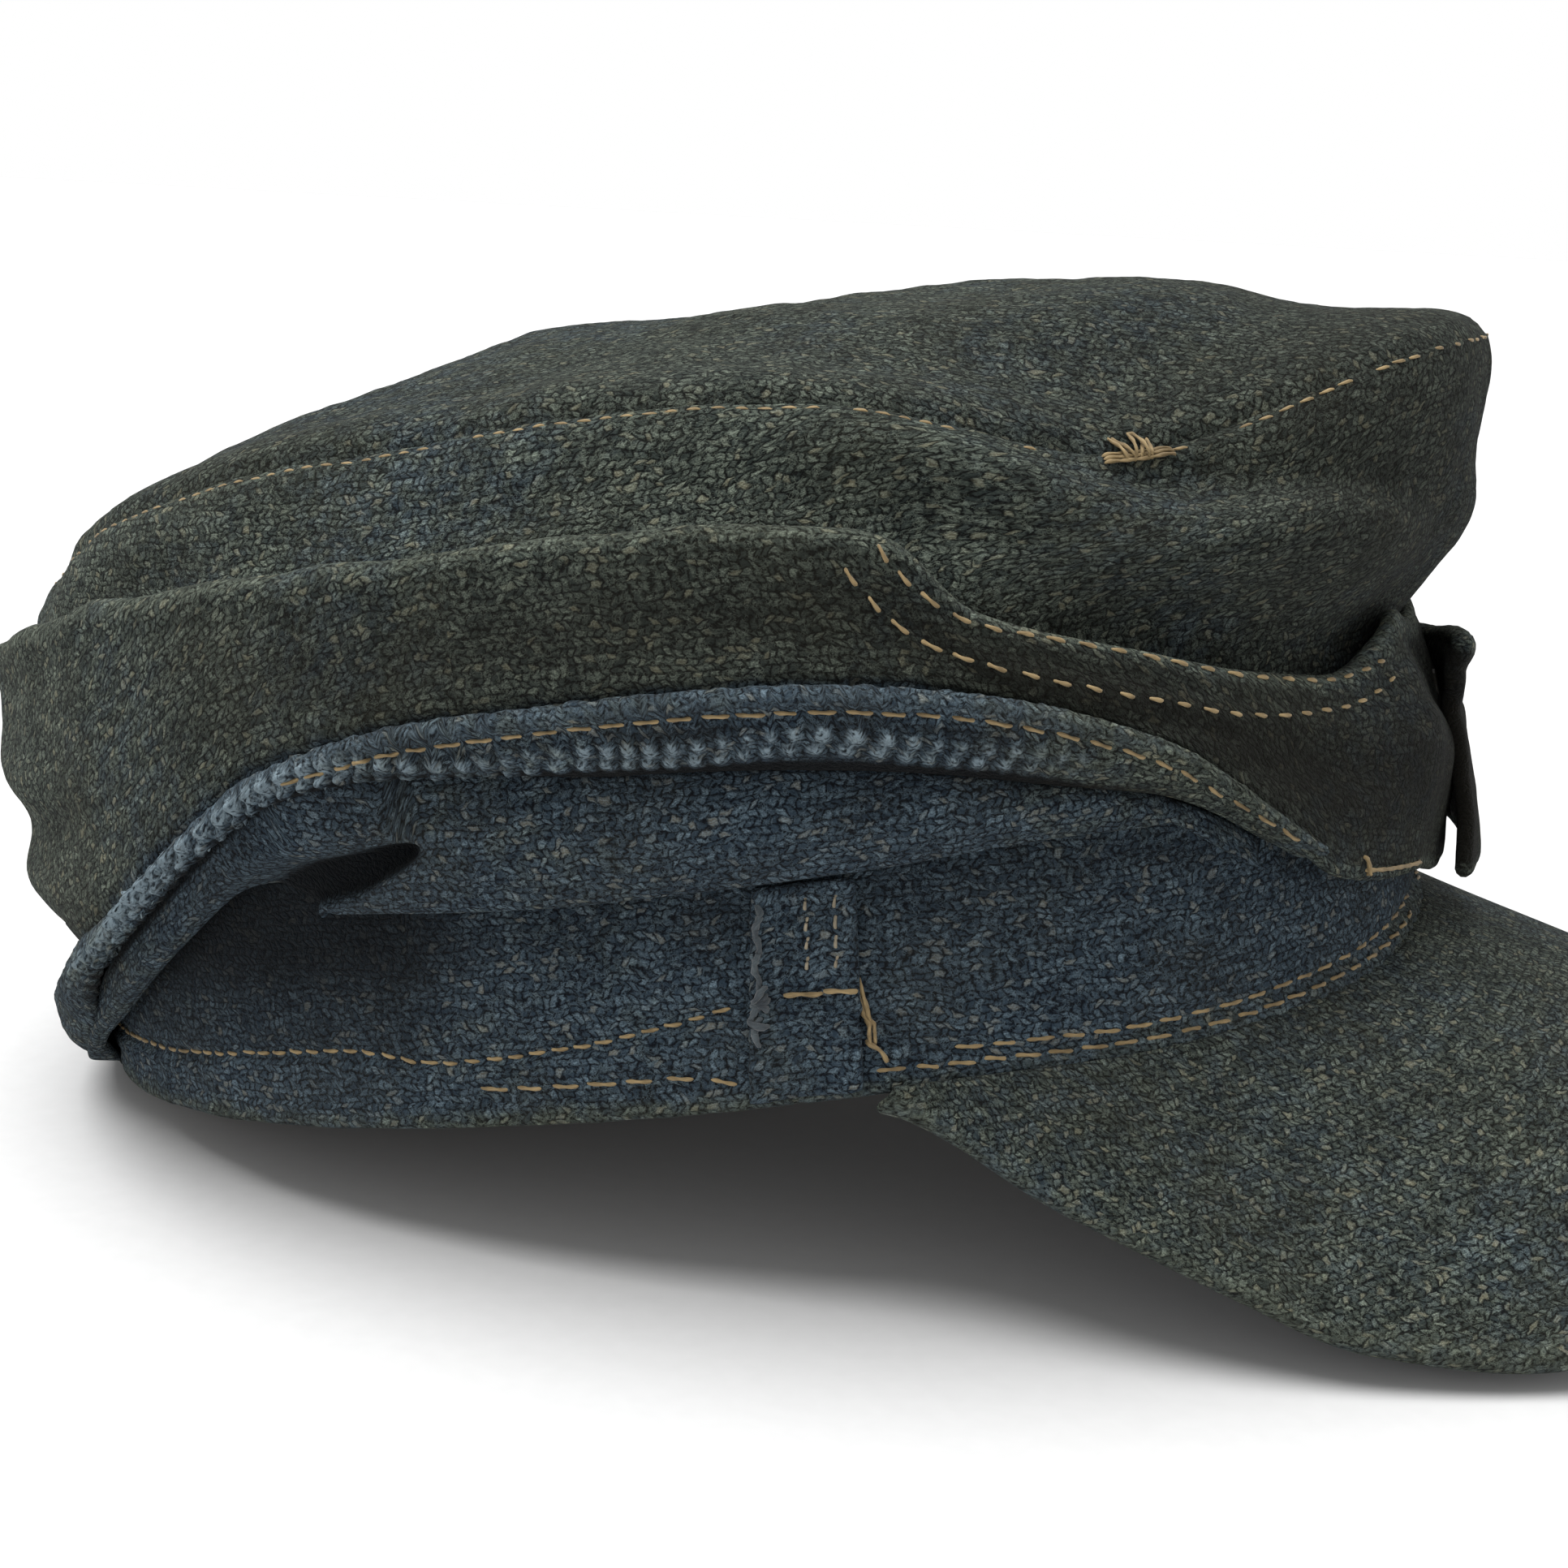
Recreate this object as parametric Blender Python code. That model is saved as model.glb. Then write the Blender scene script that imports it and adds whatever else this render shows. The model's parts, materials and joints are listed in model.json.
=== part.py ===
"""Soft field cap with a peak and a turned-up skirt whose two ends lap over each other in front.

The cap is laid out in its own frame first, in millimetres: the lower edge of the
head opening is the plane z = 0, +X points to the front and +Y to the wearer's left.
place_all() then tips that frame back until the cap stands on a table on the rear of
its band and the two sides of its peak, and turns millimetres into metres.
Angles run round the head from the front (0 degrees), positive towards the left.
"""
import math

import bmesh
import bpy
from mathutils import Matrix, Vector

MM = 0.001                       # metres in a millimetre
GAP = 0.3                        # clearance between touching pieces
SLIT = 0.15                      # half the clearance between pieces end to end, in degrees

# Head opening and body wall
BAND_HALF_LENGTH = 103.0         # outside of the base band
BAND_HALF_WIDTH = 82.0
OVAL_POWER = 2.2                 # 2 is an ellipse, more is squarer
BAND_HEIGHT = 38.0
BAND_SEAM = 74.5                 # degrees, where its front and rear are joined
BAND_SLIT = 0.1                  # half the clearance at that seam, in degrees
STRIP_SPAN = (71.0, 78.3)        # the lapped strip over the seam, in degrees
STRIP_CLOTH = 1.3
SWEATBAND_CLOTH = 1.4
CLOTH = 2.0                      # thickness of the fulled wool cloth
LINING_CLOTH = 0.9
LINING_REACH = 0.875             # the lining's top panel, as a share of the crown's
CROWN_FRONT = 122.0              # how far the crown overhangs in front
CROWN_REAR = 98.5
CROWN_HALF_WIDTH = 72.0          # at the top seam
CROWN_PEAK = 102.0               # highest point of the top panel
SEAM_FRONT = 81.0                # height of the top seam
SEAM_SIDE = 91.0
SEAM_REAR = 79.0

# Turned-up skirt
SKIRT_FRONT = 110.5
SKIRT_REAR = 109.5
SKIRT_HALF_WIDTH = 93.0
SKIRT_DRAW_IN = 2.4              # the crest lies this much closer to the head than the lip
SKIRT_REAR_LEAN = 4.0            # and this much more at the rear
SKIRT_CLOTH = 2.4                # two plies
# heights of its upper and lower edge, as (degrees from the front, height)
CREST = ((0, 38), (12, 42), (27, 43.5), (40, 50), (57, 61), (62, 71), (70, 75), (90, 77.5), (118, 76.5),
         (180, 76))
LIP = ((0, 6.5), (12, 11), (22, 14), (30, 19), (45, 39), (65, 52), (90, 56), (104, 52), (120, 37),
       (140, 23), (180, 19))
HEM_START = 32.0                 # the hem and the roll start this far round from the front
HEM_DEPTH = 9.0                  # width of the turned hem below the lip
HEM_DRAW_IN = 4.0                # its lower edge lies this much closer to the head
HEM_CLOTH = 1.2
EAR_FRONT = 66.0                 # the ear flap, in degrees round the head
EAR_REAR = 104.0
EAR_HINGE_HEIGHT = 53.0
EAR_HINGE_OUT = 91.0             # distance of the fold from the middle plane
RIGHT_END = 12.0                 # the right front end passes the centre under the tab
TAB_ROOT = 26.0                  # the left front tab, in degrees round the head
TAB_END = -5.0
UNDERLAP = 2.0                   # the right end steps in this much where the tab covers it
TAB_LIFT = 2.0                   # the tab lies this far outside the skirt
TAB_FLARE = 1.8                  # its two corners spring forward
TAB_REST_OPEN = 1.5              # degrees that the tab stands open
ROLL_LOW = 30.0                  # the rolled inner ply under the hem
ROLL_HIGH = 46.5
ROLL_DEPTH = 4.6                 # fullest at the sides
ROLL_FLAT = 2.0
ROLL_CLOTH = 1.5

# Peak
PEAK_TIP = 160.0
PEAK_START = 68.5                # degrees, where it leaves the band
PEAK_RIM_CENTRE = 37.0
PEAK_RIM_HALF_WIDTH = 80.0
PEAK_ROOT = ((0, 3), (45, 1), (68.5, 1.5))
PEAK_TUCK = 4.5                  # the inner layers start this much lower, under the band
PEAK_RIM = ((0, -31), (25, -36), (47, -45), (63, -39), (70, -31), (80, -17), (90, -1))
PEAK_CLOTH = 1.4
PEAK_BOARD = 1.5

# Bar tacks: short rows of thread, as (degrees, degrees) and (height, height)
TACK_THICK = 0.9
SIDE_TACK = ((69.5, 70.4), (8.0, 17.0))
FRONT_TACK = ((31.0, 33.5), (19.8, 21.2))
CROWN_TACK = ((-52.0, -45.0), (72.0, 73.4))

# Press studs that hold the tab
STUD_ANGLE = 2.0
STUD_HEIGHTS = (16.0, 29.0)
STUD_RADIUS = 4.5
STUD_BASE = 0.3                  # thickness of the post's flange
STUD_PIN = 1.6                   # radius of the post at its foot
STUD_PIN_HEIGHT = 1.0
STUD_HOLE = 2.1                  # radius of the socket's hole
STUD_SOCKET = (0.85, 1.25)       # from and to, above the cloth


# ---------------------------------------------------------------- small helpers

def smooth_step(low, high, value):
    """Goes smoothly from 0 at low to 1 at high."""
    t = min(max((value - low) / (high - low), 0.0), 1.0)
    return t * t * (3.0 - 2.0 * t)


def along(stations, x):
    """Smooth curve through (x, value) stations."""
    x = min(max(x, stations[0][0]), stations[-1][0])
    last = len(stations) - 1
    i = 0
    while i < last - 1 and x > stations[i + 1][0]:
        i += 1

    def slope(k):
        a = stations[max(k - 1, 0)]
        b = stations[min(k + 1, last)]
        return 0.0 if k in (0, last) else (b[1] - a[1]) / (b[0] - a[0])

    (x0, y0), (x1, y1) = stations[i], stations[i + 1]
    h = x1 - x0
    t = (x - x0) / h
    return ((2 * t ** 3 - 3 * t ** 2 + 1) * y0 + (t ** 3 - 2 * t ** 2 + t) * h * slope(i)
            + (3 * t ** 2 - 2 * t ** 3) * y1 + (t ** 3 - t ** 2) * h * slope(i + 1))


def oval(degrees, front, rear, half_width, power=OVAL_POWER):
    """Point on a head-shaped oval, as (x, y)."""
    a = math.radians(degrees)
    c, s = math.cos(a), math.sin(a)
    x = math.copysign(abs(c) ** (2.0 / power), c) * (front if c > 0 else rear)
    y = math.copysign(abs(s) ** (2.0 / power), s) * half_width
    return x, y


def spread(low, high, count):
    """count + 1 evenly spaced values."""
    return [low + (high - low) * i / count for i in range(count + 1)]


def ring(start, end, step=8.0):
    """Angles from start to end through the multiples of step, so nested rings stay parallel."""
    low, high = min(start, end), max(start, end)
    inner = [k * step for k in range(math.ceil(low / step), math.floor(high / step) + 1)]
    inner = [a for a in inner if low + 1.0 < a < high - 1.0]
    angles = [low] + inner + [high]
    return angles if end > start else angles[::-1]


# ---------------------------------------------------------------- surfaces

def band_surface(degrees, height):
    x, y = oval(degrees, BAND_HALF_LENGTH, BAND_HALF_LENGTH, BAND_HALF_WIDTH)
    return Vector((x, y, height))


def seam_height(degrees):
    end = SEAM_FRONT if math.cos(math.radians(degrees)) > 0 else SEAM_REAR
    return end + (SEAM_SIDE - end) * math.sin(math.radians(degrees)) ** 2


def wall_surface(degrees, height):
    """Outside of the crown's side wall above the base band."""
    free = crest(degrees)        # the crown bulges forward as soon as it clears the skirt
    front = BAND_HALF_LENGTH + (CROWN_FRONT - BAND_HALF_LENGTH) * smooth_step(free, free + 22, height)
    rear = BAND_HALF_LENGTH + (CROWN_REAR - BAND_HALF_LENGTH) * smooth_step(47, 62, height)
    side = (BAND_HALF_WIDTH + 1.5 * smooth_step(47, 60, height)
            - (BAND_HALF_WIDTH + 1.5 - CROWN_HALF_WIDTH) * smooth_step(60, 92, height))
    x, y = oval(degrees, front, rear, side)
    return Vector((x, y, height))


def wall_by_share(degrees, share):
    """Crown wall from the base band (0) up to just under the top seam (1)."""
    low = BAND_HEIGHT + GAP
    high = seam_height(degrees) - CLOTH - 2 * GAP
    return wall_surface(degrees, low + (high - low) * share)


def dome_surface(degrees, reach):
    """Top panel: reach is 0 at its middle and 1 at the seam."""
    steep = 2.2 + 0.5 * math.cos(math.radians(degrees))
    edge = wall_surface(degrees, seam_height(degrees))
    height = CROWN_PEAK - (CROWN_PEAK - edge.z) * reach ** steep
    return Vector((edge.x * reach, edge.y * reach, height))


def from_front(degrees):
    """The angle to the front, 0 to 180, whichever side it is on."""
    return abs((degrees + 180.0) % 360.0 - 180.0)


def crest(degrees):
    return along(CREST, from_front(degrees))


def lip(degrees):
    return along(LIP, from_front(degrees))


def skirt_oval(degrees, height, draw_in):
    x, y = oval(degrees, SKIRT_FRONT - draw_in, SKIRT_REAR - draw_in, SKIRT_HALF_WIDTH - draw_in)
    return Vector((x, y, height))


def skirt_surface(degrees, height):
    """Outside of the turned-up skirt, a little fuller at its lip than at its crest."""
    share = (height - lip(degrees)) / (crest(degrees) - lip(degrees))
    lean = SKIRT_DRAW_IN + SKIRT_REAR_LEAN * smooth_step(115, 170, from_front(degrees))
    return skirt_oval(degrees, height, lean * share * share)


def skirt_by_share(degrees, share):
    low = lip(degrees) + GAP
    return skirt_surface(degrees, low + (crest(degrees) - low) * share)


def level_out(degrees):
    """Level direction square to the band's outline."""
    a = band_surface(degrees - 0.5, 0)
    b = band_surface(degrees + 0.5, 0)
    return Vector((b.y - a.y, a.x - b.x, 0)).normalized()


def underlap_surface(degrees, height):
    """Right front of the skirt, which steps in under the tab."""
    step_in = UNDERLAP * smooth_step(-15, -6, degrees)
    return skirt_surface(degrees, height) - level_out(degrees) * step_in


def right_front_by_share(degrees, share):
    low = lip(degrees) + GAP
    return underlap_surface(degrees, low + (crest(degrees) - low) * share)


def ear_by_share(degrees, share):
    low = max(lip(degrees), EAR_HINGE_HEIGHT) + GAP
    return skirt_surface(degrees, low + (crest(degrees) - low) * share)


def hem_by_share(degrees, share):
    """Turned hem under the lip, drawn in towards the crease at its lower edge."""
    beside_ear = EAR_FRONT <= from_front(degrees) <= EAR_REAR
    high = min(lip(degrees), EAR_HINGE_HEIGHT if beside_ear else 99.0) - 2 * GAP
    return skirt_oval(degrees, high - HEM_DEPTH * (1.0 - share), HEM_DRAW_IN * (1.0 - share))


def tab_by_share(across, share):
    """Left front tab: across is 0 at its root and 1 at its hollowed free end."""
    end = TAB_END + 2.0 * math.sin(math.pi * share)
    root = TAB_ROOT - 1.2
    degrees = root + (end - root) * across
    low = lip(degrees) + GAP
    p = skirt_surface(degrees, low + (crest(degrees) - low) * share)
    flare = TAB_FLARE * (2 * share - 1) ** 2 * smooth_step(0.4, 1.0, across)
    out = Vector((p.x, p.y, 0)).normalized()
    return p + out * (TAB_LIFT * smooth_step(0, 0.35, across) + flare)


def peak_surface(side, reach, tuck=0.0):
    """Top of the peak: side runs -1 (right) to 1 (left), reach 0 at the band to 1 at the rim."""
    root_angle = PEAK_START * side
    x, y = oval(root_angle, BAND_HALF_LENGTH + 2.4, 0, BAND_HALF_WIDTH + 2.4)
    root = Vector((x, y, along(PEAK_ROOT, abs(root_angle)) - tuck))
    rim_angle = 90.0 * side
    x, y = oval(rim_angle, PEAK_TIP - PEAK_RIM_CENTRE, 1, PEAK_RIM_HALF_WIDTH, 2.35)
    rim = Vector((x + PEAK_RIM_CENTRE, y, along(PEAK_RIM, abs(rim_angle))))
    swell = 2.5 * math.sin(math.pi * reach) * (1 - side * side)
    return root.lerp(rim, reach) + Vector((0.5, 0, 1)).normalized() * swell


# ---------------------------------------------------------------- mesh makers

pieces = []                      # every object with its origin in the cap's frame


def material(name, colour, roughness, metallic=0.0):
    made = bpy.data.materials.get(name)
    if made is None:
        made = bpy.data.materials.new(name)
        made.use_nodes = True
        shader = made.node_tree.nodes["Principled BSDF"]
        shader.inputs["Base Color"].default_value = (*colour, 1.0)
        shader.inputs["Roughness"].default_value = roughness
        shader.inputs["Metallic"].default_value = metallic
    return made


def faded_wool():
    return material("faded_wool", (0.045, 0.058, 0.050), 0.95)


def unfaded_wool():
    return material("unfaded_wool", (0.032, 0.042, 0.060), 0.95)


def lining_twill():
    return material("lining_twill", (0.16, 0.15, 0.12), 0.85)


def leather():
    return material("leather", (0.16, 0.085, 0.045), 0.6)


def board():
    return material("peak_board", (0.13, 0.11, 0.09), 0.8)


def thread():
    return material("thread", (0.36, 0.27, 0.15), 0.7)


def steel():
    return material("stud_metal", (0.10, 0.10, 0.095), 0.45, 0.9)


def keep(name, mesh_builder, finish, origin=Vector((0, 0, 0))):
    """Turns a bmesh in the cap's frame into a named object whose origin is given."""
    bmesh.ops.translate(mesh_builder, vec=-origin, verts=mesh_builder.verts)
    bmesh.ops.recalc_face_normals(mesh_builder, faces=mesh_builder.faces)
    bmesh.ops.scale(mesh_builder, vec=(MM, MM, MM), verts=mesh_builder.verts)
    mesh = bpy.data.meshes.new(name)
    mesh_builder.to_mesh(mesh)
    mesh_builder.free()
    mesh.materials.append(finish)
    mesh.shade_smooth()
    mesh.set_sharp_from_angle(angle=math.radians(40))
    made = bpy.data.objects.new(name, mesh)
    bpy.context.scene.collection.objects.link(made)
    pieces.append((made, origin))
    return made


def outward(surface, u, v, du, dv):
    """Normal of a surface that faces away from the middle of the head."""
    step_u = surface(u + du, v) - surface(u - du, v)
    step_v = surface(u, v + dv) - surface(u, v - dv)
    n = step_u.cross(step_v).normalized()
    away = surface(u, v) - Vector((0, 0, 20))
    return n if n.dot(away) > 0 else -n


def shell(name, surface, us, vs, finish, outer=0.0, inner=CLOTH, origin=Vector((0, 0, 0)), turn=None):
    """Closed solid between two offsets (outer < inner, both inwards) of a surface patch."""
    builder = bmesh.new()
    du = abs(us[-1] - us[0]) * 1e-3
    dv = abs(vs[-1] - vs[0]) * 1e-3
    layers = []
    for depth in (outer, inner):
        rows = []
        for u in us:
            row = []
            for v in vs:
                inside_u = min(max(u, min(us) + du), max(us) - du)
                inside_v = min(max(v, min(vs) + dv), max(vs) - dv)
                p = surface(u, v) - outward(surface, inside_u, inside_v, du, dv) * depth
                row.append(builder.verts.new(turn @ p if turn else p))
            rows.append(row)
        layers.append(rows)
    top, bottom = layers
    for i in range(len(us) - 1):
        for j in range(len(vs) - 1):
            for rows in layers:
                builder.faces.new((rows[i][j], rows[i + 1][j], rows[i + 1][j + 1], rows[i][j + 1]))
    for i in range(len(us) - 1):
        for j in (0, len(vs) - 1):
            builder.faces.new((top[i][j], top[i + 1][j], bottom[i + 1][j], bottom[i][j]))
    for j in range(len(vs) - 1):
        for i in (0, len(us) - 1):
            builder.faces.new((top[i][j], top[i][j + 1], bottom[i][j + 1], bottom[i][j]))
    return keep(name, builder, finish, origin)


def dome(name, reach, outer, inner, finish, around=45, rings=8):
    """Closed shell cut from the top panel's surface, out to a share of its reach."""
    builder = bmesh.new()
    layers = []
    for depth in (outer, inner):
        pole = builder.verts.new((0, 0, CROWN_PEAK - depth))
        rows = []
        for k in range(1, rings + 1):
            r = reach * k / rings
            row = []
            for a in range(around):
                degrees = 360.0 * a / around - 180.0
                n = outward(dome_surface, degrees, min(r, 0.995 * reach), 0.5, 0.004)
                row.append(builder.verts.new(dome_surface(degrees, r) - n * depth))
            rows.append(row)
        for a in range(around):
            b = (a + 1) % around
            builder.faces.new((pole, rows[0][a], rows[0][b]))
            for k in range(rings - 1):
                builder.faces.new((rows[k][a], rows[k + 1][a], rows[k + 1][b], rows[k][b]))
        layers.append(rows[-1])
    top, bottom = layers
    for a in range(around):
        b = (a + 1) % around
        builder.faces.new((top[a], top[b], bottom[b], bottom[a]))
    return keep(name, builder, finish)


def turned(name, profile, centre, direction, finish, origin, steps=16):
    """Solid of revolution from (radius, distance along) points; a ring where none is on the axis."""
    builder = bmesh.new()
    frame = direction.to_track_quat("Z", "Y").to_matrix()
    ends = []
    rings = []
    for radius, height in profile:
        if radius < 1e-6:
            ends.append(builder.verts.new(centre + frame @ Vector((0, 0, height))))
            rings.append(None)
            continue
        ring = []
        for k in range(steps):
            a = 2 * math.pi * k / steps
            local = Vector((radius * math.cos(a), radius * math.sin(a), height))
            ring.append(builder.verts.new(centre + frame @ local))
        rings.append(ring)
    if not ends:
        rings.append(rings[0])
    for low, high in zip(rings, rings[1:]):
        for k in range(steps):
            m = (k + 1) % steps
            if low is None:
                builder.faces.new((ends[0], high[k], high[m]))
            elif high is None:
                builder.faces.new((ends[-1], low[m], low[k]))
            else:
                builder.faces.new((low[k], low[m], high[m], high[k]))
    return keep(name, builder, finish, origin)


# ---------------------------------------------------------------- the pieces

def both_sides(maker):
    for name, sign in (("right", -1), ("left", 1)):
        maker(name, sign)


def make_crown():
    dome("crown_top_panel", 1.0, 0.0, CLOTH, faded_wool())
    lining_depth = CLOTH + 2 * GAP

    def side(name, sign):
        span = ring(sign * 0.1, sign * 179.9)
        levels = spread(0, 1, 6)
        shell("crown_side_" + name, wall_by_share, span, levels, faded_wool())
        shell("lining_side_" + name, wall_by_share, span, levels[:-1], lining_twill(),
              lining_depth, lining_depth + LINING_CLOTH)
    both_sides(side)
    dome("lining_top", LINING_REACH, lining_depth, lining_depth + LINING_CLOTH, lining_twill(), 45, 7)


def tack(name, surface, place, sign=1):
    """A flat bar of stitches lying on a surface."""
    (start, end), (low, high) = place
    shell(name, surface, spread(sign * start, sign * end, 2), spread(low, high, 2), thread(),
          -GAP - TACK_THICK, -GAP)


def make_band():
    levels = spread(0, BAND_HEIGHT, 2)
    front = BAND_SEAM - BAND_SLIT
    rear = BAND_SEAM + BAND_SLIT
    shell("base_band_front", band_surface, ring(-front, front), levels, unfaded_wool())
    shell("base_band_rear", band_surface, ring(rear, 360 - rear), levels, unfaded_wool())
    shell("sweatband", band_surface, ring(-179.8, 179.8), spread(1.0, BAND_HEIGHT - 2.0, 2), leather(),
          CLOTH + GAP, CLOTH + GAP + SWEATBAND_CLOTH)

    def strip(name, sign):
        low, high = STRIP_SPAN
        shell("side_seam_strip_" + name, band_surface, spread(sign * low, sign * high, 3),
              spread(0.5, ROLL_LOW - 1.5, 4), unfaded_wool(), -GAP - STRIP_CLOTH, -GAP)
        tack("side_bar_tack_" + name, band_surface, SIDE_TACK, sign)
    both_sides(strip)


def make_skirt():
    levels = spread(0, 1, 4)
    front_root = EAR_FRONT - SLIT
    rear_root = EAR_REAR + SLIT
    shell("skirt_rear", skirt_by_share, ring(rear_root, 360 - rear_root), levels, faded_wool(),
          0.0, SKIRT_CLOTH)
    shell("skirt_front_right", right_front_by_share, ring(-front_root, RIGHT_END), levels,
          faded_wool(), 0.0, SKIRT_CLOTH)
    shell("skirt_front_left", skirt_by_share, ring(TAB_ROOT, front_root), levels, faded_wool(),
          0.0, SKIRT_CLOTH)

    def side(name, sign):
        hinge = Vector((0, sign * EAR_HINGE_OUT, EAR_HINGE_HEIGHT))
        ear = ring(sign * (EAR_FRONT + SLIT), sign * (EAR_REAR - SLIT))
        shell("ear_flap_" + name, ear_by_share, ear, levels, faded_wool(), 0.0, SKIRT_CLOTH, hinge)
        under_lip = ring(sign * HEM_START, sign * 179.8)
        shell("hem_" + name, hem_by_share, under_lip, spread(0, 1, 2), faded_wool(), 0.0, HEM_CLOTH)
        shell("inner_roll_" + name, roll_by_share, under_lip, levels, unfaded_wool(), 0.0, ROLL_CLOTH)
        tack("front_bar_tack_" + name, skirt_surface, FRONT_TACK, sign)
    both_sides(side)
    tack("crown_bar_tack", wall_surface, CROWN_TACK)


def roll_by_share(degrees, share):
    """Rolled inner ply that fills the fold between the band and the hem."""
    a = from_front(degrees)
    full = smooth_step(50, 75, a) * (1 - smooth_step(98, 116, a)) * math.sin(math.pi * share)
    depth = GAP + ROLL_FLAT + (ROLL_DEPTH - ROLL_FLAT) * full
    return band_surface(degrees, ROLL_LOW + (ROLL_HIGH - ROLL_LOW) * share) + level_out(degrees) * depth


def tab_hinge():
    x, y = oval(TAB_ROOT, SKIRT_FRONT - SKIRT_CLOTH / 2, 0, SKIRT_HALF_WIDTH - SKIRT_CLOTH / 2)
    return Vector((x, y, 0))


def tab_turn():
    """The tab's rest attitude: sprung open about its upright hinge line."""
    hinge = tab_hinge()
    swing = Matrix.Rotation(math.radians(TAB_REST_OPEN), 4, "Z")
    return Matrix.Translation(hinge) @ swing @ Matrix.Translation(-hinge)


def make_tab():
    hinge = tab_hinge()
    turn = tab_turn()
    shell("left_front_tab", tab_by_share, spread(0, 1, 12), spread(0, 1, 6), faded_wool(),
          0.0, SKIRT_CLOTH, hinge, turn)
    for label, height in zip(("lower", "upper"), STUD_HEIGHTS):
        foot = underlap_surface(STUD_ANGLE, height)
        out = outward(underlap_surface, STUD_ANGLE, height, 0.5, 0.5)
        flange = GAP + STUD_BASE
        post = [(0, GAP), (STUD_RADIUS, GAP), (STUD_RADIUS, flange), (STUD_PIN, flange),
                (STUD_PIN - GAP, GAP + STUD_PIN_HEIGHT), (0, GAP + STUD_PIN_HEIGHT)]
        turned("stud_post_" + label, post, foot, out, steel(), foot)
        low, high = STUD_SOCKET
        socket = [(STUD_HOLE, low), (STUD_RADIUS, low), (STUD_RADIUS, high), (STUD_HOLE, high)]
        swing = turn.to_3x3()
        turned("stud_socket_" + label, socket, turn @ foot, swing @ out, steel(), hinge)


def make_peak():
    def tucked(side, reach):
        return peak_surface(side, reach, PEAK_TUCK)

    across = spread(-0.965, 0.965, 24)
    top_low = PEAK_CLOTH + GAP
    board_low = top_low + PEAK_BOARD + GAP
    reach = spread(0.04, 0.96, 5) + [1.0]
    shell("peak_top_cloth", peak_surface, across, [0.0] + reach, faded_wool(), 0.0, PEAK_CLOTH)
    shell("peak_board", tucked, across[1:-1], reach[:-1], board(), top_low, top_low + PEAK_BOARD)
    shell("peak_under_cloth", tucked, across, reach, unfaded_wool(), board_low, board_low + PEAK_CLOTH)


# ---------------------------------------------------------------- standing

def place_all():
    """Stands the cap on a table: rear of the band and both sides of the peak touch z = 0."""
    def lowest(pitch):
        tip = Matrix.Rotation(-pitch, 4, "Y")
        rear = peak = 1e9
        for made, origin in pieces:
            for v in made.data.vertices:
                z = (tip @ (v.co + origin * MM)).z
                if v.co.x + origin.x * MM < 0:
                    rear = min(rear, z)
                else:
                    peak = min(peak, z)
        return rear, peak

    low, high = 0.0, math.radians(30)
    for _ in range(30):
        pitch = (low + high) / 2
        rear, peak = lowest(pitch)
        if peak < rear:
            low = pitch
        else:
            high = pitch
    tip = Matrix.Rotation(-pitch, 4, "Y")
    corners = [tip @ (v.co + origin * MM) for made, origin in pieces for v in made.data.vertices]
    lows = [min(c[k] for c in corners) for k in range(3)]
    highs = [max(c[k] for c in corners) for k in range(3)]
    shift = Vector((-(lows[0] + highs[0]) / 2, -(lows[1] + highs[1]) / 2, -lows[2]))
    stand = Matrix.Translation(shift) @ tip
    for made, origin in pieces:
        made.matrix_world = stand @ Matrix.Translation(origin * MM)


def main():
    for old in list(bpy.data.objects):
        bpy.data.objects.remove(old)
    pieces.clear()
    make_crown()
    make_band()
    make_skirt()
    make_tab()
    make_peak()
    bpy.context.view_layer.update()
    place_all()
    bpy.context.view_layer.update()


main()
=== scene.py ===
"""Looks of a soft wool field cap: coarse felted cloth, folds, turned edges and hand-run thread.

The cap is laid out in its own frame in millimetres, as its design is: the lower edge of the
head opening is the plane z = 0, +X points to the front and +Y to the wearer's left. Angles run
round the head from the front, positive towards the left. to_world() stands it on the table.
A grid of cloth is an array of points: its first index runs round or along the piece, its
second one up or across it.
"""
import json
import math

import bpy
import numpy as np
from mathutils import Matrix, Vector


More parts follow.
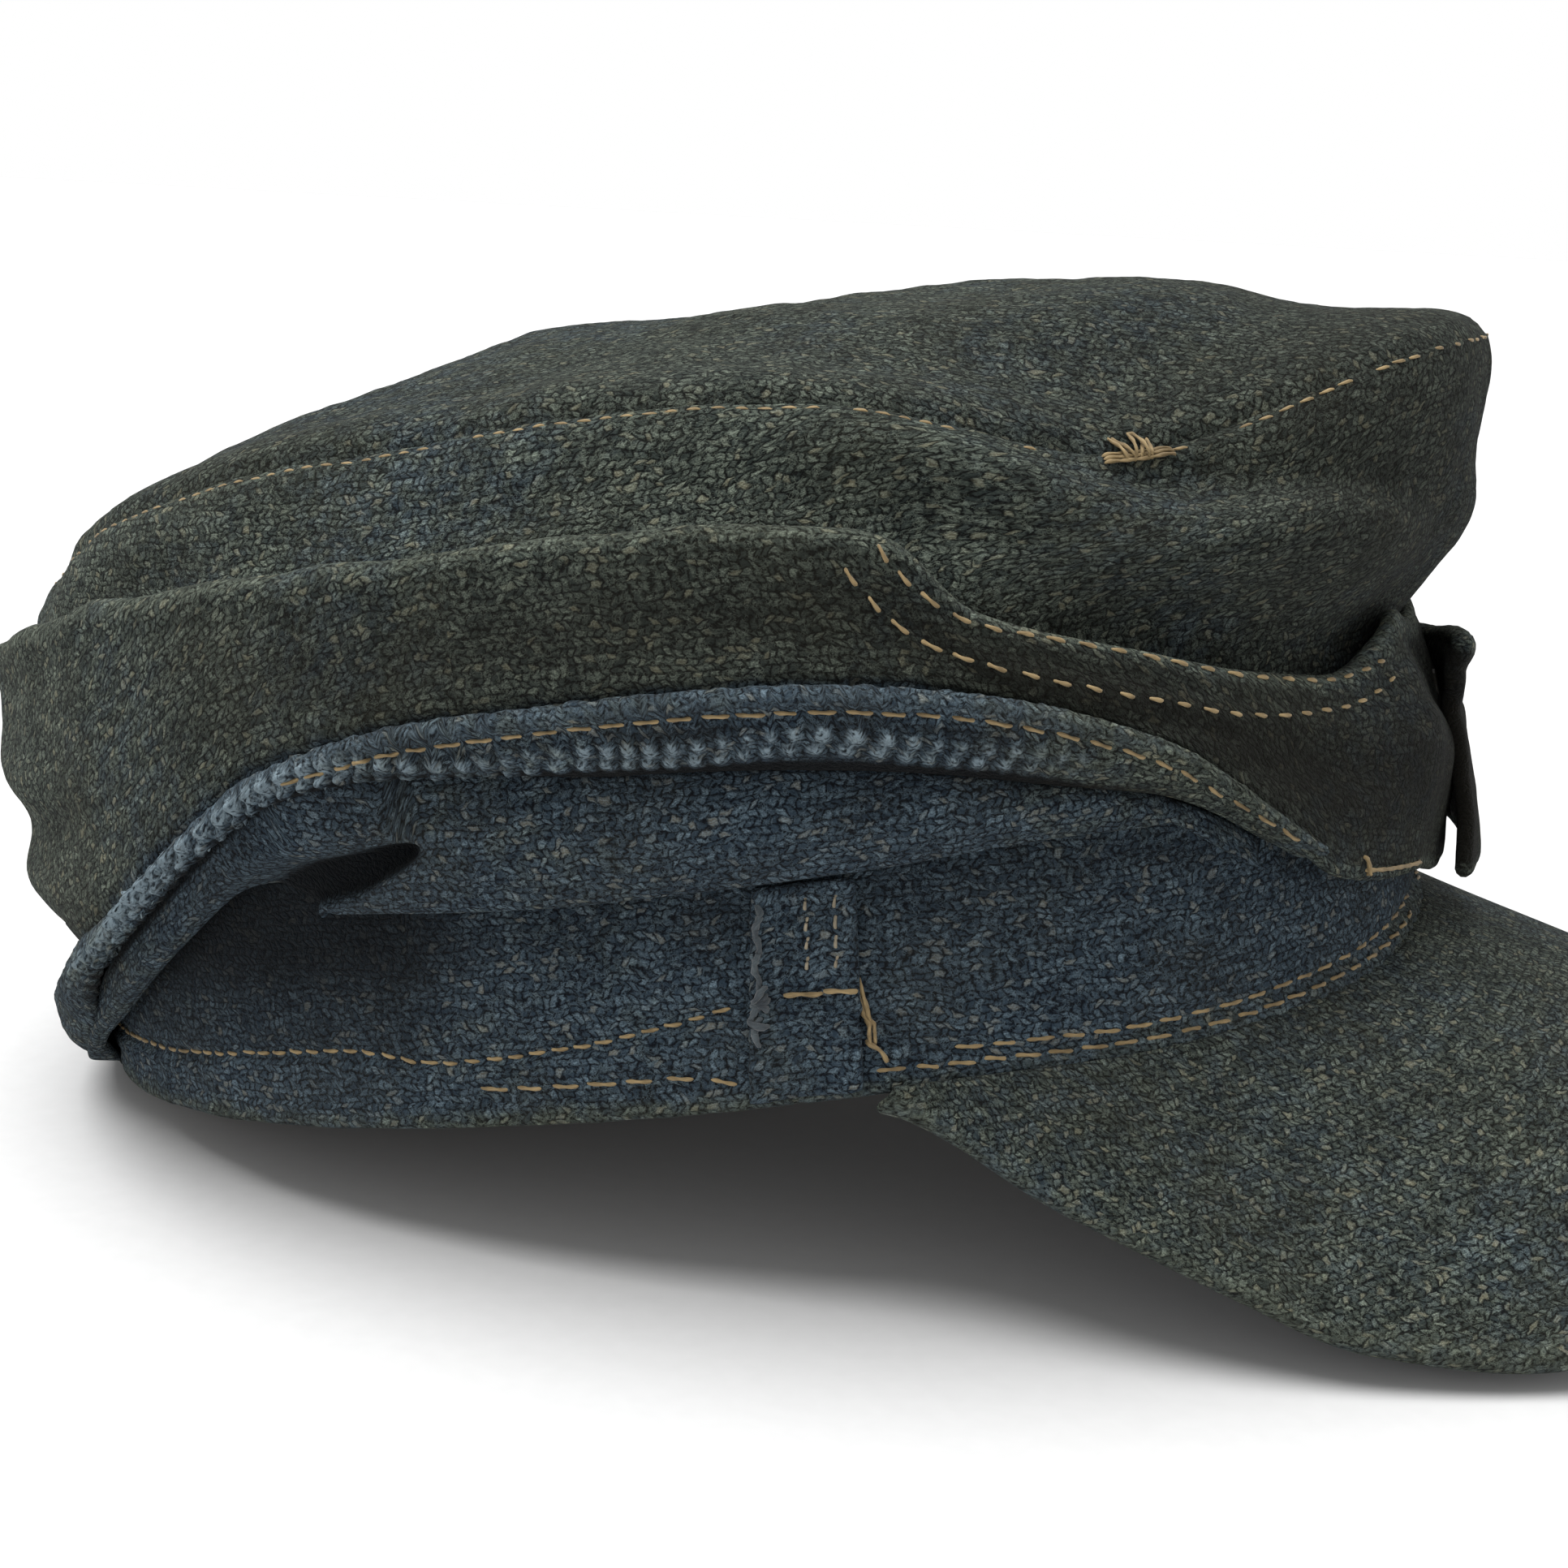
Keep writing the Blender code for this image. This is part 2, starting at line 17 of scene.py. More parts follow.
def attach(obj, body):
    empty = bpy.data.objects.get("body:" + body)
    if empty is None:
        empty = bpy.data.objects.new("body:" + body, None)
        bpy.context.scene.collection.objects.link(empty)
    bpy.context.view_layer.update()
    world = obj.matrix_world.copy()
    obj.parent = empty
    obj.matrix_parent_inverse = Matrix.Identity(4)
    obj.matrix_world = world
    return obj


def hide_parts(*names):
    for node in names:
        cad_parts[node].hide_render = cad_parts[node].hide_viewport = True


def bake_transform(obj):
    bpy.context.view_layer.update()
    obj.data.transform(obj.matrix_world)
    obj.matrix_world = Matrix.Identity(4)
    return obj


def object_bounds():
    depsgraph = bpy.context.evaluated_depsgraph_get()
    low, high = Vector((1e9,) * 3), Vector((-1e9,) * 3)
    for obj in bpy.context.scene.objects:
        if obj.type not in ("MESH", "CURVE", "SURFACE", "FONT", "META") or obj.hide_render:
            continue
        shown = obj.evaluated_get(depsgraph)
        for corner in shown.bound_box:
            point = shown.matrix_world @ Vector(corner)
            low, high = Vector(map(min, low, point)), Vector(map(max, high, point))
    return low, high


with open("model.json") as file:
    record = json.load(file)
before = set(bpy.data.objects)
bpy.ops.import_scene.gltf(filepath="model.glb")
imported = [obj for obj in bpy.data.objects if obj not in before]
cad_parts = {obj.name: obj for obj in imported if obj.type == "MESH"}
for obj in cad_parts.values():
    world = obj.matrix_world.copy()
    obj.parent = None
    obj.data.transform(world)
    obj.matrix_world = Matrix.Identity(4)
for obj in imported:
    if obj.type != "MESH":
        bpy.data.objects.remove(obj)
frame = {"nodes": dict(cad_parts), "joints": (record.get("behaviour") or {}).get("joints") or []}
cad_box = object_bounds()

MM = 0.001

# The design's own measures, in millimetres and degrees
BAND_HALF_LENGTH = 103.0
BAND_HALF_WIDTH = 82.0
OVAL_POWER = 2.2
BAND_HEIGHT = 38.0
BAND_SEAM = 74.5
CLOTH = 2.0
CROWN_FRONT = 122.0
CROWN_REAR = 98.5
CROWN_HALF_WIDTH = 72.0
CROWN_PEAK = 102.0
SEAM_FRONT = 81.0
SEAM_SIDE = 91.0
SEAM_REAR = 79.0
CROWN_MM_PER_DEGREE = 1.9
SKIRT_FRONT = 110.5
SKIRT_REAR = 109.5
SKIRT_HALF_WIDTH = 93.0
SKIRT_DRAW_IN = 2.4
CREST = ((0, 38), (12, 42), (27, 43.5), (40, 50), (57, 61), (62, 71), (70, 75), (90, 77.5), (118, 76.5),
         (180, 76))
LIP = ((0, 6.5), (12, 11), (22, 14), (30, 19), (45, 39), (65, 52), (90, 55.0), (104, 50.6), (112, 43),
       (120, 34.5), (130, 26.5), (140, 21.5), (155, 19), (180, 18.5))
HEM_DEPTH = ((0, 1.6), (31, 1.6), (54, 10), (82, 10), (91, 7.6), (98, 5.0), (106, 4.0), (126, 4.2),
             (136, 7.5), (145, 14), (153, 17.5), (180, 18.5))
STRIP_WIDTH = ((0, 10), (100, 10), (105, 8.6), (111, 6.4), (120, 5.5), (132, 5), (145, 1.8), (180, 0.8))
EAR_HINGE_HEIGHT = 53.0
EAR_HINGE_OUT = 91.0
RIGHT_END = 19.0
TAB_ROOT = 26.0
TAB_END = -5.0
UNDERLAP = 2.0
TAB_LIFT = 2.0
TAB_FLARE = 3.6
TAB_CURL = -1.6
TAB_REST_OPEN = 1.5
ROLL_LOW = 30.0
PEAK_TIP = 160.0
PEAK_START = 68.5
PEAK_RIM_CENTRE = 37.0
PEAK_RIM_HALF_WIDTH = 80.0
PEAK_ROOT = ((0, -1.5), (20, -2.5), (45, -2.2), (60, 0), (68.5, 1))
PEAK_RIM = ((0, -31), (25, -36), (47, -45), (63, -39), (70, -31), (80, -17), (90, -1))
PEAK_THICK = 4.9
PEAK_SWELL = 1.2
PEAK_SIDE_END = 0.988

# Where the cloth would bend when an ear flap is peeled away: distances in front of the middle
EAR_BEND_REAR = (-60.0, -30.0)
EAR_BEND_FRONT = (62.0, 42.0)

# Where the puckers along the hem begin and end, and where the cloth at the rear is drawn in and
# tucked, in degrees from the front
PUCKERS_BEGIN = (46, 60)
PUCKERS_END = (140, 126)
DRAWN_IN = (128, 148)
REAR_TUCK = (130, 148)

STITCH_REPEAT = 4.4
MM_PER_DEGREE = 1.78
THREAD_RADIUS = 0.25
THIN_THREAD_RADIUS = 0.2


# ---------------------------------------------------------------- small helpers

def step(low, high, x):
    """Goes smoothly from 0 at low to 1 at high."""
    t = np.clip((x - low) / (high - low), 0.0, 1.0)
    return t * t * (3.0 - 2.0 * t)


def bell(x, centre, width):
    return np.exp(-((x - centre) / width) ** 2)


def along(stations, x):
    """Smooth curve through (x, value) stations."""
    xs, ys = np.array(stations, float).T
    slopes = np.zeros(len(xs))
    slopes[1:-1] = (ys[2:] - ys[:-2]) / (xs[2:] - xs[:-2])
    x = np.clip(x, xs[0], xs[-1])
    i = np.clip(np.searchsorted(xs, x, side="left") - 1, 0, len(xs) - 2)
    h = xs[i + 1] - xs[i]
    t = (x - xs[i]) / h
    return ((2 * t ** 3 - 3 * t ** 2 + 1) * ys[i] + (t ** 3 - 2 * t ** 2 + t) * h * slopes[i]
            + (3 * t ** 2 - 2 * t ** 3) * ys[i + 1] + (t ** 3 - t ** 2) * h * slopes[i + 1])


def oval(degrees, front, rear, half_width, power=OVAL_POWER):
    a = np.radians(degrees)
    c, s = np.cos(a), np.sin(a)
    x = np.sign(c) * np.abs(c) ** (2.0 / power) * np.where(c > 0, front, rear)
    y = np.sign(s) * np.abs(s) ** (2.0 / power) * half_width
    return x, y


def points(x, y, z):
    return np.stack(np.broadcast_arrays(x, y, z), axis=-1).astype(float)


def unit(v):
    return v / np.maximum(np.linalg.norm(v, axis=-1, keepdims=True), 1e-9)


def from_front(degrees):
    return np.abs((degrees + 180.0) % 360.0 - 180.0)


def waves(seed, size, count=26):
    """A smooth random field with bumps of about that size, from -1 to 1 or so."""
    rng = np.random.default_rng(seed)
    directions = unit(rng.normal(size=(count, 3))) * rng.uniform(0.7, 1.4, (count, 1)) * 2 * math.pi / size
    phases = rng.uniform(0, 2 * math.pi, count)

    def field(p):
        return np.sin(p @ directions.T + phases).sum(-1) / math.sqrt(2 * count)
    return field


joints = {j["name"]: j for j in frame["joints"]}
fore = np.array(joints["right_ear_flap_peel"]["axis"])
upward = np.array(joints["front_tab_swing"]["axis"])
TURN = np.stack([fore, np.cross(upward, fore), upward], axis=1)
fold_point = np.array([0.0, -EAR_HINGE_OUT, EAR_HINGE_HEIGHT]) * MM
SHIFT = np.array(joints["right_ear_flap_peel"]["pos_m"]) - TURN @ fold_point


def to_world(p):
    """From the cap's own frame in millimetres to the row frame in metres."""
    return np.asarray(p, float) * MM @ TURN.T + SHIFT


# ---------------------------------------------------------------- the cloth's surfaces

broad = waves(3, 46.0)
middle = waves(4, 19.0)
small = waves(5, 7.5)
knobbly = waves(6, 3.4)


def rumple(p, amount=1.0):
    """Unevenness of soft, well-used cloth."""
    return amount * (0.55 * broad(p) + 0.28 * middle(p) + 0.12 * small(p) + 0.05 * knobbly(p))


def crest(degrees):
    return along(CREST, from_front(degrees))


def lip(degrees):
    return along(LIP, from_front(degrees))


def level_out(degrees, half_length, half_width):
    """Level direction square to an oval's outline."""
    xa, ya = oval(degrees - 0.5, half_length, half_length, half_width)
    xb, yb = oval(degrees + 0.5, half_length, half_length, half_width)
    return unit(points(yb - ya, xa - xb, 0.0))


def band_oval(degrees, height):
    """The plain outline of the head opening."""
    x, y = oval(degrees, BAND_HALF_LENGTH, BAND_HALF_LENGTH, BAND_HALF_WIDTH)
    return points(x, y, height)


def off_band(degrees, distance):
    """A push square to that outline."""
    return level_out(degrees, BAND_HALF_LENGTH, BAND_HALF_WIDTH) * distance[..., None]


def skirt_oval(degrees, height, draw_in):
    x, y = oval(degrees, SKIRT_FRONT - draw_in, SKIRT_REAR - draw_in, SKIRT_HALF_WIDTH - draw_in)
    return points(x, y, height)


def off_skirt(degrees, distance):
    """A push square to the skirt's outline."""
    return level_out(degrees, SKIRT_FRONT, SKIRT_HALF_WIDTH) * np.asarray(distance)[..., None]


RING_ANGLES = np.arange(0.0, 180.5, 0.5)
RING_OUTLINE = np.stack(oval(RING_ANGLES, SKIRT_FRONT, SKIRT_REAR, SKIRT_HALF_WIDTH), axis=-1)
RING_STEPS = np.linalg.norm(np.diff(RING_OUTLINE, axis=0), axis=-1)
RING_RUN = np.concatenate([[0.0], np.cumsum(RING_STEPS)])


def ring_run(degrees):
    """Distance round the skirt from the front to an angle."""
    return np.interp(from_front(degrees), RING_ANGLES, RING_RUN)


def seam_height(degrees):
    c, s = np.cos(np.radians(degrees)), np.sin(np.radians(degrees))
    end = np.where(c > 0, SEAM_FRONT, SEAM_REAR)
    return end + (SEAM_SIDE - end) * s ** 2


def wall_oval(degrees, height):
    """The crown's side wall as designed."""
    free = crest(degrees)
    front = BAND_HALF_LENGTH + (CROWN_FRONT - BAND_HALF_LENGTH) * step(free, free + 22, height)
    rear = BAND_HALF_LENGTH + (CROWN_REAR - BAND_HALF_LENGTH) * step(47, 62, height)
    side = (BAND_HALF_WIDTH + 1.5 * step(47, 60, height)
            - (BAND_HALF_WIDTH + 1.5 - CROWN_HALF_WIDTH) * step(60, 92, height))
    x, y = oval(degrees, front, rear, side)
    return points(x, y, height)


def crown_out(p):
    """Direction away from the crown's middle, the same on both sides of the top seam."""
    rise = np.maximum(p[..., 2] - 58.0, 0.0)
    return unit(points(p[..., 0] / 108.0 ** 2, p[..., 1] / 78.0 ** 2, rise / 62.0 ** 2))


# Soft dents and pushes in the crown: centre, reach along x, y and z, and how far it moves
CROWN_PUSHES = (
    ((79, -57, 84), (29, 22, 20), (-2, 7, -11)),      # the seam sinks behind the front fold
    ((60, -66, 82), (24, 12, 9), (0, -3.0, 1.0)),     # the start of that fold
    ((92, -52, 64), (26, 14, 9), (1, -2.5, 0.5)),     # and its fuller part
    ((118, -6, 82), (13, 26, 12), (-0.5, 0, 1.5)),    # front corner stands up
    ((124, 0, 61), (22, 60, 11), (-4.5, 0, 0)),       # under it the front falls back
    ((20, 10, 104), (34, 34, 30), (0, 0, -1.5)),
    ((50, -8, 102), (22, 20, 20), (0, 0, -2.2)),      # shallow dent in the top
    ((-55, 10, 95), (36, 36, 30), (0, 0, 0.8)),
    ((78, 50, 86), (28, 20, 20), (0, -3, -4)),        # the left side is softer
    ((10, 78, 76), (40, 12, 12), (0, 2.5, -1)),
    ((-10, -82, 74), (46, 10, 8), (0, -2.2, 0.5)),    # the wall rests on the skirt's crest
    ((-100, -10, 80), (26, 60, 14), (-3.5, 0, -6)),   # the back slumps
    ((-100, -5, 66), (26, 70, 9), (-5.5, 0, -1)),     # and hangs over the crest
    ((96, 0, 90), (16, 40, 10), (0, 0, -2.0)),        # dip behind the front corner
)


def settle(p, groove):
    """Lets the crown's cloth sink, fold and pull in at its seam."""
    moved = p.copy()
    for centre, reach, push in CROWN_PUSHES:
        share = np.exp(-(((p - np.array(centre)) / np.array(reach)) ** 2).sum(-1))
        moved += share[..., None] * np.array(push)
    shallow = 0.35 + 0.65 * step(112.0, 92.0, p[..., 0])
    puff = (0.9 * bell(groove, 6.5, 4.0) - 1.5 * bell(groove, 0.0, 1.7)) * shallow
    relief = puff + rumple(p, 1.3)
    return moved + crown_out(p) * relief[..., None]


FOLD = ((0, 51), (9, 53), (30, 61.5), (39, 67), (49, 74), (55, 80), (66, 87), (80, 92))


def wall_fold(degrees, height):
    """The soft fold that runs from the top seam at the side down to the front of the crown."""
    a = from_front(degrees)
    ridge = along(FOLD, a)
    present = step(76, 58, a) * step(2, 26, a) * np.where(degrees < 0, 1.0, 0.6)
    return present * (1.9 * bell(height, ridge - 2.0, 6.0) - 2.4 * bell(height, ridge + 7.5, 4.2))


def crown_wall(degrees, share):
    """Side wall from the base band (share 0) to the top seam (1)."""
    low = BAND_HEIGHT + 0.6
    high = seam_height(degrees)
    height = low + (high - low) * share
    below_seam = high - height
    p = wall_oval(degrees, height)
    turned_in = 1.6 * step(1.6, 0.0, below_seam)
    p -= unit(points(p[..., 0], p[..., 1], 0.0)) * turned_in[..., None]
    a = from_front(degrees)
    from_join = np.minimum(a, 180.0 - a) * CROWN_MM_PER_DEGREE
    seam = -0.7 * bell(from_join, 0.0, 1.6) * step(0, 8, below_seam)
    seam = seam + wall_fold(degrees, height) * step(0.0, 5.0, below_seam)
    return settle(p, below_seam) + crown_out(p) * seam[..., None]


def crown_top(degrees, reach):
    """Top panel: reach is 0 at its middle and 1 at the seam."""
    steep = 2.2 + 0.5 * np.cos(np.radians(degrees))
    edge = wall_oval(degrees, seam_height(degrees))
    size = np.hypot(edge[..., 0], edge[..., 1])
    inside = (1.0 - reach) * size
    height = CROWN_PEAK - (CROWN_PEAK - edge[..., 2]) * reach ** steep - 1.2 * step(1.6, 0.0, inside)
    return settle(points(edge[..., 0] * reach, edge[..., 1] * reach, height), inside)


def skirt_top(degrees):
    """Height of the rounded crest; it sinks towards the back."""
    return crest(degrees) - 1.5 - 9.5 * step(112, 162, from_front(degrees))


def skirt_crease(degrees, height, p):
    """Long soft creases of the skirt."""
    a = from_front(degrees)
    rear = -1.3 * bell(height, 42.0 - 0.1 * (a - 150), 3.6) * step(112, 135, a)
    rear += 1.2 * bell(height, 51.0, 5.0) * step(116, 140, a)
    rear += 1.0 * bell(height, 34.0, 3.5) * step(122, 145, a)
    front = -1.1 * bell(height, 27.0 + 0.45 * (a - 20), 3.0) * bell(a, 26, 13)
    front += 1.3 * bell(height, 35.0 + 0.42 * (a - 20), 5.0) * bell(a, 24, 16)
    hollow = -1.4 * bell(height, crest(degrees) - 13.0, 6.0) * bell(a, 64, 11)
    drawn_in = -7.0 * bell(height, lip(degrees), 7.5) * step(*DRAWN_IN, a)
    return rear + front + hollow + drawn_in + rumple(p + 31.0, 0.85)


def skirt_low(degrees):
    """Height of the outer ply's lower edge."""
    return lip(degrees) + 1.2 * step(29, 34, from_front(degrees))


def skirt(degrees, share, lapped=True):
    """Outer ply of the turned-up skirt, from its lip (share 0) to its crest (1).

    lapped gives the right front end its curl, its lift and its step in under the tab."""
    a = from_front(degrees)
    low = skirt_low(degrees)
    high = skirt_top(degrees)
    height = low + (high - low) * share
    lean = SKIRT_DRAW_IN - 0.8 * step(120, 160, a)
    p = skirt_oval(degrees, height, lean * share * share)
    p[..., 2] += 0.5 * middle(p * np.array([1, 1, 0])) * share
    from_crest = high - height
    welt = (-0.55 * bell(from_crest, 8.5, 1.6) - 0.4 * bell(from_crest, 3.0, 1.3)) * step(66, 58, a)
    roll_over = 0.8 * bell(from_crest, 1.0, 2.4)
    at_lip = -0.8 * bell(share, 0.0, 0.06) * step(33, 38, a)
    relief = skirt_crease(degrees, height, p) + welt + roll_over + at_lip
    if lapped:
        present = degrees < RIGHT_END + 1
        curl = 3.8 * bell(share, 0.52, 0.30) - 1.6 * (1.0 - share) ** 3
        relief += (step(-34, -10, degrees) * curl - UNDERLAP * step(-15, -6, degrees)) * present
        p[..., 2] += 5.4 * share ** 2 * step(-25, -8, degrees) * present
    return p + off_skirt(degrees, relief)


def tab_hinge():
    x, y = oval(TAB_ROOT, SKIRT_FRONT - 1.2, 0, SKIRT_HALF_WIDTH - 1.2)
    return np.array([float(x), float(y), 0.0])


def tab(degrees, share):
    """Left front of the skirt with the tab that laps over the right end."""
    root = TAB_ROOT - 1.2
    across = np.clip((root - degrees) / (root - TAB_END), 0.0, 1.0)
    hollow = 2.0 * np.sin(math.pi * share) * across
    p = skirt(degrees + hollow, share, lapped=False)
    curl = np.where(share > 0.5, TAB_FLARE, TAB_CURL) * (2 * share - 1) ** 2
    forward = TAB_LIFT * step(0.25, 0.75, across) + curl * step(0.3, 0.95, across)
    p = p + unit(points(p[..., 0], p[..., 1], 0.0)) * forward[..., None]
    sprung = step(0.45, 1.0, across)
    p[..., 2] += sprung * (1.4 * share ** 2 - 1.2 * (1 - share) ** 2)
    p[..., 2] -= (4.6 * share ** 2 + 4.0 * (1 - share) ** 2) * bell(degrees, 18.0, 11.0)
    hinge = tab_hinge()
    turn = np.radians(TAB_REST_OPEN) * step(30, 22, degrees)
    away = p - hinge
    c, s = np.cos(turn), np.sin(turn)
    x, y, z = np.moveaxis(away, -1, 0)
    return hinge + points(x * c - y * s, x * s + y * c, z)


def hem_depth(degrees):
    return along(HEM_DEPTH, from_front(degrees))


def hem_low(degrees):
    """Height of the hem's lower edge."""
    return lip(degrees) + 1.2 - hem_depth(degrees)


def puckered(degrees):
    """1 where the hem is puckered, 0 at the front and the rear."""
    a = from_front(degrees)
    return step(*PUCKERS_BEGIN, a) * step(*PUCKERS_END, a)


def hem_beads(degrees, below):
    """How full the cloth is in the small puckers that run along the hem in two rows, from 0 to 1."""
    arc = ring_run(degrees)
    pucker_length = 3.1
    wander = 2 * math.pi * (arc + 0.7 * np.sin(arc / 7.3) + 0.4 * np.sin(arc / 2.9 + 1.0)) / pucker_length
    row = np.minimum(6.0, hem_depth(degrees) - 2.4) + 0.5 * np.sin(arc / 5.1)
    upper = (0.5 + 0.5 * np.cos(wander)) * bell(below, row, 1.15)
    lower = (0.5 - 0.5 * np.cos(wander + 0.8)) * bell(below, row + 2.1, 1.0)
    return (upper * (0.8 + 0.2 * np.sin(arc / 4.3)) + 0.8 * lower) * puckered(degrees)


def hem(degrees, share):
    """Turned hem under the lip, from its lower edge (share 0) to the lip (1)."""
    a = from_front(degrees)
    depth = hem_depth(degrees)
    below = depth * (1.0 - share)
    p = skirt_oval(degrees, lip(degrees) + 1.2 - below, 0.0)
    pucker = 2.5 * hem_beads(degrees, below) - 0.5 * bell(below, depth - 3.0, 3.0) * puckered(degrees)
    ridge = 1.5 * step(9.0, 1.5, below) + 0.5 * bell(below, 0.9, 1.2)
    stitched = -0.6 * bell(below, 2.7, 0.9) * step(108, 98, a)
    pulled = 0.18 * np.cos(2 * math.pi * ring_run(degrees) / STITCH_REPEAT) * bell(below, 1.2, 1.6)
    at_rear = step(*REAR_TUCK, a)
    tuck = -(5.0 - 3.6 * step(88, 100, a) + 3.0 * at_rear) * (1.0 - share) ** (3.0 + 4.0 * at_rear)
    rear_roll = -(8.0 * bell(1.0 - share, 0.0, 0.22) - 0.5) * step(*DRAWN_IN, a)
    uneven = rumple(p + 9.0, 0.55) + 0.10 * knobbly(1.7 * p)
    return p + off_skirt(degrees, ridge + stitched + pucker + pulled + tuck + rear_roll + uneven)


def strip_low(degrees):
    """Lower edge of the part of the inner ply that runs along the hem behind the roll."""
    return hem_low(degrees) - along(STRIP_WIDTH, from_front(degrees))


def inner_pocket(degrees, height):
    """1 in the pocket between that part and the roll's curled rear end."""
    a = from_front(degrees)
    slope = 0.12 * (a - 98.0)
    below = strip_low(degrees) - slope - height
    tall = 4.6 * np.sqrt(np.clip((a - 94.5) / 6.0, 0.0, 1.0)) + slope
    upright = step(-0.9, 0.3, below) * step(tall + 0.8, tall - 0.8, below)
    return upright * step(94.6, 97.0, a) * step(117, 107, a)


def inner_ply(degrees, share):
    """Rolled inner ply between hem and band: a soft roll at the side, a strip along the hem behind it."""
    a = from_front(degrees)
    high = hem_low(degrees) + 1.0 - 1.5 * step(60, 40, a)
    strip_edge = strip_low(degrees)
    low_side = ROLL_LOW + 1.0 * step(88, 104, a) - 2.0 * step(58, 40, a)
    low = np.minimum(low_side + (strip_edge - low_side) * step(103, 112, a), high - 3.0)
    height = low + (high - low) * share
    p = band_oval(degrees, height)
    belly = np.sin(math.pi * np.clip(share * 0.90 + 0.06, 0, 1)) ** 0.7
    roll = 5.2 * belly + 0.6 * np.sin(math.pi * share) * broad(p * 1.6)
    roll = roll * step(36, 62, a) * step(114, 103, a)
    up_strip = np.clip((height - strip_edge + 0.6) / np.maximum(high - strip_edge, 4.0), 0.0, 1.0)
    fullness = np.sin(0.5 * math.pi * np.minimum(up_strip / 0.4, 1.0)) ** 0.6
    strip = (6.6 - 2.4 * step(104, 140, a)) * fullness
    in_strip = step(92, 101, a) * step(-1.5, 0.5, height - strip_edge)
    relief = 1.3 + roll + (strip - roll) * in_strip + rumple(p + 57.0, 0.5)
    relief = relief + (0.3 - relief) * inner_pocket(degrees, height)
    return p + off_band(degrees, relief)


def groove_floor(degrees, share):
    """Closes the groove between crown and skirt from below: share 0 in the crown's wall, 1 in the skirt."""
    wall = -1.2 + 2.2 * bell(from_front(degrees), 88.0, 14.0)
    root = band_oval(degrees, lip(degrees) + 4.0) + off_band(degrees, wall)
    end = skirt(degrees, np.full(share.shape, 0.12)) - off_skirt(degrees, 1.2)
    p = root + (end - root) * share[..., None]
    p[..., 2] -= 3.0 * np.sin(math.pi * share)
    return p


# Height of the row of stitches round the band
BAND_ROW = ((0, 4.6), (40, 4.2), (62, 4.8), (68, 9.0), (73, 14.6), (81, 12.8), (89, 10.4), (98, 9.2),
            (106, 11), (132, 8.8), (180, 9.0))


def band(degrees, height):
    """Base band round the head opening."""
    a = from_front(degrees)
    p = band_oval(degrees, height)
    row = along(BAND_ROW, a)
    turned = 0.7 * step(row, row - 1.5, height) - 0.5 * bell(height, row, 0.9)
    pulled = 0.22 * np.cos(2 * math.pi * ring_run(degrees) / STITCH_REPEAT) * bell(height, row - 1.8, 2.2)
    lower = -0.35 * bell(height, 4.4, 0.9) * step(74, 78, a)
    slack = 0.7 * bell(height, 24.0, 8.0) * broad(p * 1.3)
    relief = turned + pulled + lower + slack + rumple(p + 77.0, 0.5)
    return p + off_band(degrees, relief * step(39.0, 34.0, height))


def peak(side, reach):
    """Cloth over the peak's stiff board; reach 0 at the band, 1 at the rim."""
    root_angle = PEAK_START * side
    x, y = oval(root_angle, BAND_HALF_LENGTH + 2.4, 1.0, BAND_HALF_WIDTH + 2.4)
    root = points(x, y, along(PEAK_ROOT, np.abs(root_angle)))
    rim_angle = 90.0 * side
    x, y = oval(rim_angle, PEAK_TIP - PEAK_RIM_CENTRE, 1.0, PEAK_RIM_HALF_WIDTH, 2.35)
    rim = points(x + PEAK_RIM_CENTRE, y, along(PEAK_RIM, np.abs(rim_angle)))
    rim = rim - unit(rim - root) * PEAK_THICK / 2
    swell = PEAK_SWELL * np.sin(math.pi * np.clip(reach, 0, 1)) * (1 - side * side)
    p = root + (rim - root) * reach[..., None]
    return p + unit(np.array([0.5, 0.0, 1.0])) * swell[..., None]


def normals(p):
    """Unit normals of a grid of points, facing away from the middle of the head."""
    n = unit(np.cross(np.gradient(p, axis=0), np.gradient(p, axis=1)))
    facing = (n * (p - np.array([0.0, 0.0, -20.0]))).sum(-1).mean()
    return n if facing > 0 else -n


def between(g, i, j):
    """Values of a grid at places between its points."""
    a, b = np.floor(i).astype(int), np.floor(j).astype(int)
    s, t = i - a, j - b
    if g.ndim > 2:
        s, t = s[..., None], t[..., None]
    near = g[a, b] * (1 - s) + g[a + 1, b] * s
    far = g[a, b + 1] * (1 - s) + g[a + 1, b + 1] * s
    return near * (1 - t) + far * t


class Sheet:
    """A surface sampled on an even grid, which gives points and normals between its own."""

    def __init__(self, surface, us, vs):
        self.us, self.vs = us, vs
        self.p = surface(*np.meshgrid(us, vs, indexing="ij"))
        self.n = normals(self.p)

    def at(self, u, v):
        u, v = np.broadcast_arrays(np.asarray(u, float), np.asarray(v, float))
        i = np.clip((u - self.us[0]) / (self.us[-1] - self.us[0]), 0, 1) * (len(self.us) - 1.001)
        j = np.clip((v - self.vs[0]) / (self.vs[-1] - self.vs[0]), 0, 1) * (len(self.vs) - 1.001)
        return between(self.p, i, j), unit(between(self.n, i, j))


# ---------------------------------------------------------------- mesh makers

